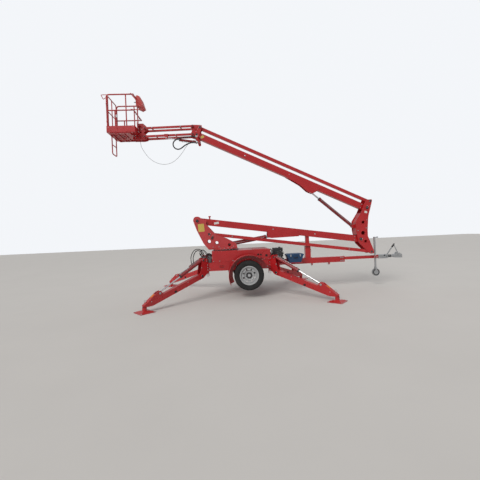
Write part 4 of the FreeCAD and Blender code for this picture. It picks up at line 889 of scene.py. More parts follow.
hoseLook = {"radius": 8.5, "thin": 6.5, "arch": 9.5}


def hoseRun(hoses, ends, line, radius, firstEnd=True, lastEnd=True):
    pipe(hoses, line, radius)
    if firstEnd:
        fitting(ends, line[0], line[1] - line[0], radius)
    if lastEnd:
        fitting(ends, line[-1], line[-2] - line[-1], radius)


def cornerHoses(corner):
    # from a bulkhead on the bracket, in a loop over the pivot, to the barrel's ports
    place = outriggerFrame(corner)
    hoses, ends, block = meshes(3)
    rise = 115 if corner.endswith("rear") else 50
    along, square = Vector((0.8952, 0, -0.4459)), Vector((0.4459, 0, 0.8952))

    def barrel(distance, height, across=0.0):
        return ramBase + (along * distance + square * height) / 1000 + mm(0, across, 0)

    for across in (-20, 16):
        port = 72 if across < 0 else 118
        line = [mm(-155, across, 868), mm(-150, across * 1.1, 950), barrel(-10, 80 + rise, across * 1.3),
                barrel(port + 12, 100 + rise * 0.5, across * 0.5), barrel(port, 55, across * 0.5)]
        hoseRun(hoses, ends, [place @ point for point in line], hoseLook["radius"])
    brick(block, place @ move(-155, 0, 835), 40, 90, 33)
    bend = ("outrigger_barrel_" + corner, place @ mm(-140, 0, 930), place @ barrel(90, 60))
    piece("cornerHoses_" + corner, hoses, "hoseRubber", "chassis", between=bend)
    piece("cornerFittings_" + corner, ends, "zincSteel", "chassis", between=bend, angle=50)
    piece("cornerBlock_" + corner, block, "blackPaint", "chassis", 1.5)


for corner in ("near_front", "far_rear", "far_front"):
    cornerHoses(corner)

valveLook = {"levers": 5, "firstY": -405, "pitch": 45, "lean": (-44, 0, 108)}


def valveHoses():
    # from the manifold's unions into the deck's rear wall; levers' knobs, gauge and pump motor
    hoses, ends, dark, grey, zinc, dial = meshes(6)
    for k in range(valveLook["levers"]):
        y = valveLook["firstY"] + valveLook["pitch"] * (k + 0.5)
        inlet = (-1131, y * 0.6 + 20, 960 + 4 * k)
        line = [(-1308, y, 948), (-1300, y, 985), (-1262 + 6 * k, y + 6, 1006 + 7 * k),
                (-1190, y * 0.8 + 40, 1000 + 6 * k), inlet]
        hoseRun(hoses, ends, [at(*point) for point in line], hoseLook["radius"], lastEnd=False)
        lathe(dark, on(minusX, *inlet), [(8.5, -2), (14, -2), (14, 5), (10.5, 10), (8.5, 10)], 20)
        lathe(dark, on(valveLook["lean"], -1414, y, 1031),
              [(0, -16), (8, -16), (15, -6), (15.5, 4), (11, 13), (0, 16)], 20)
        lathe(dark, on(valveLook["lean"], -1358, y, 923),
              [(19, -2), (16, 6), (17.5, 10), (12, 18), (13.5, 21), (5.5, 34)], 20)
    for k in range(1, 6):
        brick(zinc, on(minusX, -1371, valveLook["firstY"] + valveLook["pitch"] * k, 880), 2.5, 84, 1.2)
    for y in (-392, -193):
        for z in (850, 910):
            boltHead(zinc, on(minusX, -1370, y, z), 12)
    gauge = on((-0.7, -0.6, 0.3), -1345, -168, 952)
    lathe(dark, gauge, [(0, -12), (26, -12), (28, -8), (28, 10), (25, 13), (22, 10)], 32)
    lathe(dial, gauge, [(22.5, 8.5), (22.5, 9.5), (0, 9.5)], 32)
    brick(dark, gauge @ spin(35) @ move(6, 0, 9.5), 22, 2.2, 1)
    bar(zinc, [(-1340, -186, 900), (-1340, -178, 925), (-1344, -172, 944)], 6, 8)
    # pump motor: grey can with bands, end bell and two terminals
    can = flat(-1180, -455, 835)
    lathe(grey, can, [(42.4, 6), (43.6, 8), (43.6, 150), (42.4, 152)], 40)
    for z in (26, 78, 130):
        hoop(dark, can @ move(0, 0, z), 43.8, 1.4, 40, 6)
    lathe(dark, can, [(42.8, 158), (44.5, 160), (44.5, 170), (38, 176), (33, 184), (18, 187), (0, 187)], 40)
    for angle in (200, 250):
        stud = can @ spin(angle) @ move(43.6, 0, 118) @ spin(90, "Y")
        boltHead(zinc, stud, 12)
        lathe(zinc, stud, [(4, 0), (4, 14), (0, 14)], 10)
    bar(hoses, [(-1196, -497, 953), (-1206, -520, 968), (-1238, -512, 985), (-1262, -440, 962), (-1292, -395, 915)],
        hoseLook["thin"])
    piece("valveHoses", hoses, "hoseRubber", "chassis")
    piece("valveUnions", ends, "zincSteel", "chassis", angle=50)
    piece("valveKnobs", dark, "gripRubber", "chassis", angle=50)
    piece("valveZinc", zinc, "zincSteel", "chassis")
    piece("motorCan", grey, "greyPaint", "chassis")
    piece("gaugeDial", dial, "whitePlate", "chassis")


def rearArch():
    # the two loops that stand over the near rear corner, from the manifold's end to the cylinder
    hoses, ends = meshes(2)
    for points in ([(-1336, -400, 936), (-1352, -436, 1040), (-1420, -510, 1130), (-1500, -600, 1120),
                    (-1548, -680, 1010), (-1547, -726, 905), (-1539, -718, 856)],
                   [(-1318, -372, 936), (-1335, -410, 1062), (-1420, -490, 1165), (-1530, -610, 1150),
                    (-1596, -710, 1020), (-1590, -762, 880), (-1579, -754, 829)]):
        hoseRun(hoses, ends, [at(*point) for point in points], hoseLook["arch"])
    bend = ("outrigger_barrel_near_rear", at(-1390, -470, 1080), at(-1560, -690, 990))
    piece("rearArch", hoses, "hoseRubber", "chassis", between=bend)
    piece("rearArchEnds", ends, "zincSteel", "chassis", between=bend, angle=50)


valveHoses()
rearArch()


# Small engine: recoil cover, shroud screen, fins, plug, filter, guard over the silencer, tank straps

engineLook = {"shaft": (508.0, 925.0), "screenSlots": 18, "rimBolts": 5, "fins": 9, "finPitch": 10.0, "capRibs": 20}


def engineParts():
    dark, rubber, zinc, guard = meshes(4)
    x, z = engineLook["shaft"]
    face = wall(x, -318, z)
    lathe(dark, face, [(70, -2), (67, 6), (50, 11), (48, 8), (40, 8), (38, 13), (16, 16), (0, 16)], 48)
    for k in range(engineLook["screenSlots"]):
        turn = face @ spin(360 * k / engineLook["screenSlots"])
        sheet(rubber, turn @ move(58, 0, 8) @ spin(-24, "Y"), 17, 5.5, 2.5, 1.2)
    rim = wall(x, -300, z)
    lathe(dark, rim, [(96.5, -70), (98.5, -66), (98.5, -6), (94, 1), (86, 1.5)], 56)
    for k in range(engineLook["rimBolts"]):
        boltHead(zinc, rim @ spin(36 + 360 * k / engineLook["rimBolts"]) @ move(82, 0, 1.2), 10)
    # starter grip and its cord's eye
    grip = on((0.35, -0.9, 0.25), x + 62, -322, z + 62)
    lathe(rubber, grip, [(0, 0), (10, 0), (11, 6), (6, 10), (6, 14), (0, 14)], 16)
    sheet(rubber, grip @ move(0, 0, 14), 52, 15, 7, 14)
    # cooling fins on the cylinder head, plug and its lead
    for k in range(engineLook["fins"]):
        sheet(dark, flat(x + 104, -100, z - 40 + engineLook["finPitch"] * k), 58, 158, 10, 2.8)
    lathe(rubber, on((1, 0, 0.1), x + 126, -72, z + 10),
          [(0, 0), (9, 0), (9, 10), (7, 14), (8.5, 18), (8.5, 30), (0, 33)], 16)
    bar(rubber, [(x + 156, -72, z + 12), (x + 166, -90, z + 34), (x + 138, -150, z + 64), (x + 84, -205, z + 76)],
        3.8, 8)
    # air filter over the carburettor
    box = on(minusX, x - 84, -206, z + 18)
    sheet(dark, box, 92, 88, 14, 34)
    for k in range(6):
        sheet(rubber, box @ move(0, -30 + 12 * k, 34), 70, 4.5, 2, 1)
    lathe(zinc, box @ move(0, 0, 34), [(0, 0), (8, 0), (8, 6), (5, 9), (0, 9)], 12)
    # heat guard with slots over the silencer, and its outlet
    for k in range(7):
        angle = math.radians(65 + 25 * k)
        out = (math.cos(angle), 0, math.sin(angle))
        brick(guard, on(out, x - 100 + 43 * out[0], -80, z + 30 + 43 * out[2]) @ spin(90), 168, 13, 2.2)
    for y in (-160, 0):
        hoop(guard, on((0, 1, 0), x - 100, y, z + 30), 43.5, 2.2, 40, 6)
    lathe(guard, on((-1, 0, 0.2), x - 138, -90, z + 38), [(12, -10), (12, 26), (9.5, 26), (9.5, 4), (0, 4)], 20)
    # tank: seam, straps, cap with a ribbed edge
    sheet(dark, flat(x + 2, -85, 1051), 242, 264, 26, 3.5)
    cap = flat(x + 52, -100, 1112)
    lathe(rubber, cap, [(26.5, -14), (26.5, 0), (23.5, 4), (10, 5), (9, 7), (0, 7)], 28)
    for k in range(engineLook["capRibs"]):
        brick(rubber, cap @ spin(360 * k / engineLook["capRibs"]) @ move(26.2, 0, -13), 2.8, 3.5, 14)
    for y in (-195, 25):
        brick(guard, flat(x + 2, y, 1094), 236, 16, 1.6)
    for dx in (-118, 118):
        for y in (-215, 25):
            boltHead(zinc, flat(x + dx, y, 841), 14)
            lathe(rubber, flat(x + dx * 0.8, y, 841), [(0, 0), (16, 0), (18, 4), (12, 10), (0, 10)], 20)
    # oil plug and throttle rod
    lathe(zinc, on((0, -1, -0.2), x - 40, -228, z - 66), [(0, 0), (12, 0), (12, 8), (6, 12), (6, 16), (0, 16)], 6)
    bar(zinc, [(x + 30, -230, z + 84), (x + 46, -246, z + 98), (x + 66, -252, z + 99)], 3, 8)
    piece("engineCowls", dark, "blackPaint", "chassis", 0.7)
    piece("engineRubber", rubber, "gripRubber", "chassis", angle=48)
    piece("engineBolts", zinc, "zincSteel", "chassis", 0.4)
    piece("engineGuard", guard, "zincSteel", "chassis")


engineParts()


# Tool box: lid rim, hasps, handle, moulded ribs; boom rest: latch pin and rubber

boxLook = {"x": 902, "rim": (404, 322, 20), "crown": (340, 258, 16), "lidRibs": 5}


def toolBoxParts():
    shell, zinc, rubber, rest, trim, pins = meshes(6)
    x = boxLook["x"]
    lid = flat(x, -225, 930)
    sheet(shell, lid, *boxLook["rim"], 4)
    sheet(shell, lid, *boxLook["crown"], 7.5, 4)
    for k in range(boxLook["lidRibs"]):
        sheet(shell, lid @ move(-120 + 60 * k, 0, 11.5), 18, 220, 7, 3)
    for dx in (-118, 118):
        hasp = wall(x + dx, -391, 905)
        sheet(zinc, hasp, 30, 52, 4, 3)
        sheet(zinc, hasp @ move(0, -10, 3), 18, 44, 4, 3.5)
        hoop(zinc, hasp @ move(0, -26, 4), 6, 1.5, 20, 6)
    grip = ((-46, -382, 862), (-40, -402, 852), (0, -405, 850), (40, -402, 852), (46, -382, 862))
    bar(rubber, [(x + dx, y, z) for dx, y, z in grip], 7.5)
    for side in sides:
        for z in (800, 840):
            sheet(shell, on((side, 0, -0.33), x + side * (148 + (z - 727) * 0.345), -220, z), 200, 7, 3, 3)
    piece("toolBoxLid", shell, "blueBox", "chassis", 1.2)
    piece("toolBoxHasps", zinc, "zincSteel", "chassis", 0.5)
    piece("toolBoxGrip", rubber, "gripRubber", "chassis")
    sheet(rest, flat(1305, 0, 1087), 146, 134, 12, 6)
    for z in (965, 995):
        boltHead(pins, on(plusX, 1393, 0, z), 12)
    lathe(pins, wall(1371, -30, 980), [(0, -16), (6.5, -16), (6.5, 26), (10, 28), (10, 34), (0, 35)], 16)
    hoop(pins, on(plusX, 1371, -66, 968), 14, 2.5, 24)
    sheet(trim, flat(1305, 0, 795), 176, 118, 10, 8)
    for sx in sides:
        for sy in sides:
            boltHead(pins, flat(1305 + sx * 78, sy * 46, 803), 14)
    for side in sides:
        weldRun(trim, at(1239, side * 61, 799), at(1371, side * 61, 799))
    piece("boomRestRubber", rest, "gripRubber", "chassis", 1)
    piece("boomRestTrim", trim, "redPaint", "chassis", 0.8)
    piece("boomRestPins", pins, "zincSteel", "chassis", 0.4)


toolBoxParts()


# Drawbar's end: jockey wheel, hitch, brake lever

hitchLook = {"z": 742.5, "gripRibs": 7, "folds": 5}


def hitchParts():
    zinc, rubber, dark = meshes(3)
    z0 = hitchLook["z"]
    # ribbed sleeve over the brake lever's end
    start, end = at(3508, -54, z0 + 224), at(3575, -54, z0 + 312)
    long = (end - start).length * 1000
    rows = [(15.2, 0), (19, 4)]
    for k in range(hitchLook["gripRibs"]):
        s = 12 + (long - 24) * k / hitchLook["gripRibs"]
        rows += [(20, s), (20, s + 6), (18, s + 8), (18, s + 11)]
    lathe(rubber, facing(start, end - start), rows + [(20, long - 2), (15, long + 5), (0, long + 7)])
    # lever's pivots and its pawl segment
    for x, y, z, size in ((3311, -60, z0 - 32, 21), (3560, -64, z0 + 292, 18), (3690, -60, z0 + 18, 15)):
        boltHead(zinc, wall(x, y, z), size)
    segment = [(72, degrees) for degrees in range(20, 111, 10)] + [(40, degrees) for degrees in range(110, 19, -18)]
    slab(dark, wall(3311, -47, z0 - 32), [(r * math.cos(math.radians(degrees)), r * math.sin(math.radians(degrees)))
                                          for r, degrees in segment], 4)
    # jockey wheel: tyre, hub, handle's grip, clamp screw
    tyre = [(60, -26.5), (66, -27.5), (84, -27), (94.5, -18), (95.8, -6), (94, -3)]
    lathe(rubber, on((0, 1, 0), 3045, -75, 350), tyre + [(r, -y) for r, y in tyre[::-1]], 56)
    for side in sides:
        out = (0, side, 0)
        lathe(zinc, on(out, 3045, -75 + side * 26, 350),
              [(58, 0.8), (50, 0.8), (46, -1), (26, -1), (22, 3), (0, 3)], 40)
        boltHead(zinc, on(out, 3045, -75 + side * 40, 350), 16)
    lathe(rubber, on((0, -1, 0.08), 3045, -205, 1252),
          [(0, -10), (11, -10), (12.5, -4), (12.5, 40), (10, 48), (0, 49)], 20)
    lathe(zinc, flat(3045, -75, 1248), [(30, -6), (30, 4), (22, 10), (0, 12)], 32)
    lathe(zinc, wall(3045, -111, 742), [(0, 0), (9, 0), (9, 30), (12, 31), (12, 40), (0, 41)], 20)
    bar(zinc, [(3008, -148, 742), (3045, -148, 742), (3082, -148, 742)], 6)
    # hitch: bolts through the head, latch trigger, grease nipples, bellows and their clamps
    for x, z in ((3600, z0 + 6), (3655, z0 - 26)):
        for side in sides:
            boltHead(zinc, wall(x, side * 42, z), 22)
    lathe(dark, on((0.2, 0, 1), 3738, 0, z0 + 58), [(0, -6), (10, -6), (12, 6), (0, 10)], 20)
    for x in (3190, 3350):
        nipple(zinc, flat(x, 0, z0 + 48))
    for x in (3402, 3508):
        hoop(zinc, on(plusX, x, 0, z0), 36.5, 2, 32, 6)
    for k in range(hitchLook["folds"]):
        lathe(rubber, on(plusX, 3400 + 22 * k, 0, z0), [(30, -1), (36.2, 1), (37.5, 6), (36.2, 11), (30, 13)], 36)
    piece("hitchZinc", zinc, "zincSteel", "chassis")
    piece("hitchRubber", rubber, "gripRubber", "chassis", angle=50)
    piece("hitchDark", dark, "blackPaint", "chassis", 0.6)


hitchParts()
print("hoses, engine, box and hitch done")


# Booms: bolts and plugs of the boxes, seams, welds round the doublers, plates; knob, link bolts

booms = {
    "lower": {"line": ((-1471, 1853), (2655, 1226)), "half": 70, "depth": 163, "doubler": [
        (287, 1425), (293, 1548), (330, 1562), (470, 1546), (560, 1510), (660, 1466), (745, 1450), (850, 1474),
        (925, 1489), (1000, 1480), (1085, 1452), (1082, 1366), (400, 1348), (300, 1368)]},
    # the upper doubler is given along the boom and across it
    "upper": {"line": ((2855, 2012), (-1395, 4022)), "half": 62, "depth": 155, "doubler": [
        (1292, 15), (1335, 90), (1380, 150), (1430, 200), (1560, 203), (1680, 166), (1800, 130), (1960, 108),
        (2215, 80), (2255, 50), (2285, -12), (2180, -8), (2060, 16), (1930, 4), (1860, -4), (1790, 12), (1700, 30),
        (1600, 22), (1480, 0)]},
}
boomLook = {"strip": (118, 52, 5), "tipPlate": (88, 58, 6), "knobRibs": 12}


def boomLength(name):
    (x0, z0), (x1, z1) = booms[name]["line"]
    return math.hypot(x1 - x0, z1 - z0)


def boomPoint(name, along, rise, y):
    (x0, z0), (x1, z1) = booms[name]["line"]
    long = boomLength(name)
    dx, dz = (x1 - x0) / long, (z1 - z0) / long
    return at(x0 + dx * along - dz * rise, y, z0 + dz * along + dx * rise)


def outlineWeld(mesh, corners):
    # a bead round a plate laid on another
    for a, b in zip(corners, corners[1:] + corners[:1]):
        count = 2 * max(1, int((b - a).length / 0.012))
        pipe(mesh, [a.lerp(b, k / count) for k in range(count + 1)],
             [3 * (1 if k % 2 else 0.76) for k in range(count + 1)], 6, soft=False)


def boomParts(name):
    zinc, welds = meshes(2)
    half, long = booms[name]["half"], boomLength(name)
    # the box's seam is on its lower side
    seam = (booms[name]["depth"] / 2 - 5) * (-1 if name == "lower" else 1)
    for side in sides:
        weldRun(welds, boomPoint(name, 70, seam, side * (half + 0.2)),
                boomPoint(name, long - 70, seam, side * (half + 0.2)), 2.4, 20)
    for side in sides:
        y = side * (half + 1)
        outlineWeld(welds, [at(a, y, b) if name == "lower" else boomPoint(name, a, b, y)
                            for a, b in booms[name]["doubler"]])
    for side in sides:
        out = (0, side, 0)
        for s in (130, long - 130):
            for rise in (-44, 44):
                boltHead(zinc, facing(boomPoint(name, s, rise, side * half), out), 18)
        for s in (long * 0.46, long * 0.72):
            lathe(zinc, facing(boomPoint(name, s, 0, side * half), out), [(16, -1), (16.5, 1), (13, 3), (0, 3.2)])
    piece("boomBolts_" + name, zinc, "zincSteel", name + "_boom", 0.4)
    piece("boomWelds_" + name, welds, "redPaint", name + "_boom")


def boomExtras():
    # plain white strip, plain yellow tip plate, knob on the lower boom, rings and bolts of the links
    strip, tip, knob, links, rings = meshes(5)
    sheet(strip, facing(boomPoint("lower", 478, 2, -70), minusY, 8.6), *boomLook["strip"], 1.2)
    sheet(tip, facing(boomPoint("upper", 4553, -4, -62), minusY, 25.3), *boomLook["tipPlate"], 1.2)
    foot = Matrix.Translation(boomPoint("lower", 295, 81.5, -20))
    lathe(knob, foot, [(18, 0), (19, 4), (19, 10), (16.5, 14)])
    lathe(knob, foot @ move(0, 0, 52), [(16.5, -4), (27, 0), (29, 5), (29, 18), (26.2, 24), (10, 27), (0, 27)], 32)
    for k in range(boomLook["knobRibs"]):
        rib = foot @ move(0, 0, 53.5) @ spin(360 * k / boomLook["knobRibs"]) @ move(28.2, 0, 0)
        lathe(knob, rib, [(2.8, 0), (2.8, 20), (0, 21)], 8)
    for share in (0.14, 0.86):
        for side in sides:
            spot = wall(-1196 + 4126 * share, side * 118, 1518 - 627 * share)
            lathe(rings, spot, [(26, 0.2), (24, 3), (21, 3), (20, 0.5)])
            boltHead(links, spot, 22)
    piece("boomStrip", strip, "whitePlate", "lower_boom", 0.4)
    piece("boomKnob", knob, "redPaint", "lower_boom")
    piece("tipPlate", tip, "yellowPlate", "upper_boom", 0.4)
    piece("linkBolts", links, "zincSteel", "lower_links", 0.5)
    piece("linkRings", rings, "redPaint", "lower_links")


boomParts("lower")
boomParts("upper")
boomExtras()


# Elbow: dark web set between the plates, holes' collars, bolts, white plate

elbowLook = {"plate": (70, 52, 6), "webWidth": 236}


def elbowParts():
    zinc, trim, dark, white, welds = meshes(5)
    for side in sides:
        for x, z, r in ((2736, 1649, 38), (2724, 1376, 48), (2782, 1161, 36)):
            lathe(trim, wall(x, side * 137, z), [(r + 0.2, -3), (r + 0.2, 4), (r + 6, 5), (r + 10, 0.2)], 36)
        for x, z in ((2598, 1440), (2812, 1500), (2840, 1700), (2950, 2060)):
            boltHead(zinc, wall(x, side * 137, z), 20)
        spine = [at(x, side * 124, z) for x, z in ((2572, 1350), (2568, 1640), (2600, 1712), (2700, 1878))]
        for a, b in zip(spine, spine[1:]):
            weldRun(welds, a, b)
    sheet(white, wall(2822, -137, 1905, -20), *elbowLook["plate"], 1.2)
    # set-in web behind the left edge, closed down to the lower pivot
    web = [at(2582, 0, 1300), at(2576, 0, 1352), at(2573, 0, 1638), at(2704, 0, 1882)]
    for start, end in zip(web, web[1:]):
        heading = (end - start).normalized()
        normal = Vector((heading.z, 0, -heading.x))
        sheet(dark, facing(start.lerp(end, 0.5) + normal * 0.0066, normal),
              elbowLook["webWidth"], (end - start).length * 1000 - 6, 8, 2.5)
    piece("elbowBolts", zinc, "zincSteel", "elbow", 0.4)
    piece("elbowCollars", trim, "redPaint", "elbow")
    piece("elbowWeb", dark, "darkRedPaint", "elbow", 0.6)
    piece("elbowPlate", white, "whitePlate", "elbow", 0.4)
    piece("elbowWelds", welds, "redPaint", "elbow")


elbowParts()


# Head and jib: window edge, hose and cable glands, spacer collars, pin of the jib's cylinder

glandRows = [(12.5, -4), (12.5, 8), (8.5, 12), (7, 26), (5, 28)]
jibLook = {"pinX": -1490, "length": 1175.27, "run": (-1175, -25), "hoseNut": 20}


def headParts():
    zinc, trim, dark, under = meshes(4)
    for side in sides:
        outlineWeld(trim, [at(x, side * 92, z) for x, z in ((-1448, 4170), (-1368, 4166), (-1410, 4083))])
        for x, z in ((-1500, 4245), (-1290, 4235), (-1335, 3960), (-1330, 3860), (-1470, 3985), (-1520, 4150)):
            boltHead(zinc, wall(x, side * 92, z), 16)
    # dark ring at the jib cylinder's pin: painted shade of its recess
    pinShadeRing(dark, wall(-1340, -186, 3800), 14)
    r = jibLook["hoseNut"]
    for x, z in ((-1362, 3930), (-1358, 3794)):
        spot = on(minusX, x, -215, z)
        lathe(zinc, spot, [(r * 0.80, -6), (r, -4), (r, 12), (r * 0.82, 16), (r * 0.76, 16)], 6)
        lathe(zinc, spot, [(15.5, 14), (18, 14), (18.5, 50), (16.5, 53), (15.5, 53)])
    lathe(dark, on(minusX, -1418, 165, 3958), glandRows, 20)
    lathe(under, on(down, -2852, 165, 3976), glandRows, 20)
    piece("headBolts", zinc, "zincSteel", "boom_head", angle=48)
    piece("headWindow", trim, "redPaint", "boom_head")
    piece("headGlands", dark, "gripRubber", "boom_head", angle=48)
    piece("basketGland", under, "gripRubber", "basket", angle=48)


def jibParts(body, pivotZ, spacers):
    rings, bolts = meshes(2)
    dx, dz = (step / jibLook["length"] for step in jibLook["run"])
    for s in spacers:
        x, z = jibLook["pinX"] + dx * s, pivotZ + dz * s
        for side in sides:
            for y, out in ((130, side), (100, -side)):
                lathe(rings, on((0, out, 0), x, side * y, z), [(23, 0.2), (21, 3), (18.2, 3), (18, -2)])
            boltHead(bolts, wall(x, side * 130, z), 20)
    for end in (0, jibLook["length"]):
        for side in sides:
            lathe(rings, wall(jibLook["pinX"] + dx * end, side * 130, pivotZ + dz * end),
                  [(30.5, -1), (30.5, 2.5), (22, 3.5), (17.2, 3.5)], 32)
    if body == "jib_lower":
        lathe(bolts, wall(-2135, -187, 3925), [(12, -54), (12, -6), (19.5, -6), (19.5, -1), (16, 1), (0, 1)])
        weldRun(rings, at(-2184, -188, 4010), at(-2086, -188, 4010))
    piece("jibRings_" + body, rings, "redPaint", body)
    piece("jibBolts_" + body, bolts, "zincSteel", body, angle=48)


headParts()
jibParts("jib_lower", 4020, (420, 900))
jibParts("jib_upper", 4224, (300, 1000))
print("booms, elbow and jib done")


# Basket: floor studs, toe board edge and swages, ribs and pocket below, hinges and latch of the gate, pedal, step

basketLook = {"rear": -3500, "front": -2830, "half": 370, "floor": 4052, "toe": 4185, "pitch": 46,
              "stud": (14, 6, 3.8, 1.8), "postX": -3477.7, "postY": 347.7, "hinges": (4302, 4725)}


def basketParts():
    b = basketLook
    studs, trim, dark, zinc, rubber, latch = meshes(6)
    columns = (b["front"] - b["rear"] - 60) // b["pitch"]
    rows = (2 * b["half"] - 60) // b["pitch"]
    middle = (b["rear"] + b["front"]) / 2
    for i in range(columns + 1):
        for j in range(rows + 1):
            place = flat(middle + (i - columns / 2) * b["pitch"], (j - rows / 2) * b["pitch"], b["floor"])
            treadStud(studs, place, i, j, b["stud"])
    # rolled edge along the toe board, swages pressed into it, rivets to the posts
    x0, x1, h = b["rear"] + 3, b["front"] - 3, b["half"] - 3
    edging(trim, [(x, y, b["toe"]) for x, y in ((x0, -h), (x1, -h), (x1, h), (x0, h), (x0, -h))], 4.6)
    for side in sides:
        for share in (0.14, 0.38, 0.62, 0.86):
            sheet(trim, wall(x0 + (x1 - x0) * share, side * b["half"], 4112), 6, 86, 2.8, 2.6)
        for share in (0.06, 0.94):
            rivet = wall(x0 + (x1 - x0) * share, side * b["half"], 4150)
            lathe(zinc, rivet, [(0, 0), (7, 0), (6, 3), (0, 4.2)], 14)
    # underside: ribs, drain holes, bolts along the frame, pocket's edge
    for x in range(-3400, -3180, 36):
        sheet(dark, on(down, x, 0, b["floor"] - 16.2), 200, 10, 4, 6)
    for x, y in ((-3380, -250), (-3380, 250), (-3020, -250), (-3020, 250), (-3200, -300), (-3200, 300)):
        lathe(dark, on(down, x, y, 4036), [(0, 0.6), (10, 0.6), (12, 1.8), (14, 0.2)], 20)
    for y in (-346, 346):
        for share in (0.1, 0.5, 0.9):
            boltHead(zinc, on(down, -3428 + 468 * share, y, 4012), 14)
    pocket = ((-3413, -130), (-3178, -130), (-3178, 130), (-3413, 130), (-3413, -130))
    edging(trim, [(x, y, 4026) for x, y in pocket], 6.5)
    # gate: hinge knuckles on the near corner post, with their sleeves and the latch on the gate
    for z in b["hinges"]:
        knuckle = flat(b["postX"], -b["postY"], z - 17)
        lathe(trim, knuckle, [(16.3, 0), (20.5, 1), (20.5, 33), (16.3, 34)])
        lathe(latch, flat(b["postX"], 30 - b["postY"], z) @ spin(90, "X"),
              [(10.5, -10), (14, -9), (14, 9), (10.5, 10)], 20)
    sheet(latch, flat(b["postX"], 305, 4640), 40, 34, 6, 70)
    lathe(latch, on(minusX, -3498, 305, 4675), [(0, 0), (6, 0), (6, 16), (13, 18), (14, 30), (0, 33)], 20)
    # harness rings below the middle rail
    for y in (-200, 200):
        hoop(zinc, on((0, 1, 0), -2854, y, 4525), 20, 4)
        sheet(zinc, on(minusX, -2868, y, 4545) @ move(0, 16, 0), 34, 30, 4, 3)
    # flanges at the feet of the posts
    for share in (0.0, 0.3, 0.72):
        for side in sides:
            lathe(trim, flat(b["postX"] + 625.4 * share, side * b["postY"], b["floor"]),
                  [(30, 0), (30, 3.5), (18.5, 6), (16, 6.2)])
    lathe(trim, flat(-2852.3, 0, b["floor"]), [(30, 0), (30, 3.5), (16.5, 6), (14, 6.2)])
    # foot switch on the floor, under its hood
    pedal = flat(-2960, -120, b["floor"])
    sheet(dark, pedal, 120, 150, 14, 10)
    hood = ((-190, 4062), (-190, 4104), (-120, 4124), (-50, 4104), (-50, 4062))
    bar(trim, [(-2905, y, z) for y, z in hood], 6)
    sheet(rubber, pedal @ move(-8, 0, 14) @ spin(-9, "Y"), 78, 112, 10, 8)
    # rings on the treads of the step
    for z, half, radius in ((3583, 96, 12.8), (3809.5, 132, 10.8)):
        for k in range(5):
            hoop(trim, on((0, 1, 0), -3455, half * (k / 2 - 1), z), radius, 2.2, 24, 6)
    piece("basketStuds", studs, "redPaint", "basket", 0.4)
    piece("basketTrim", trim, "redPaint", "basket", 0.6)
    piece("basketDark", dark, "darkRedPaint", "basket", 0.8)
    piece("basketZinc", zinc, "zincSteel", "basket", 0.4)
    piece("basketPedal", rubber, "gripRubber", "basket", 1)
    piece("gateLatch", latch, "zincSteel", "gate", 0.8)


basketParts()


# Console: panel towards the basket with sticks, toggles, stop button and key; lamps and covers; its bracket

consoleLook = {"back": -2836, "crest": 4990, "middleY": -20, "panel": 2.5, "sticks": (-125, 118), "stickLong": 50,
               "toggles": ((-80, -20), (-58, -20), (34, -30), (56, -30), (34, 18), (56, 18)), "lamps": 4, "vents": 7}


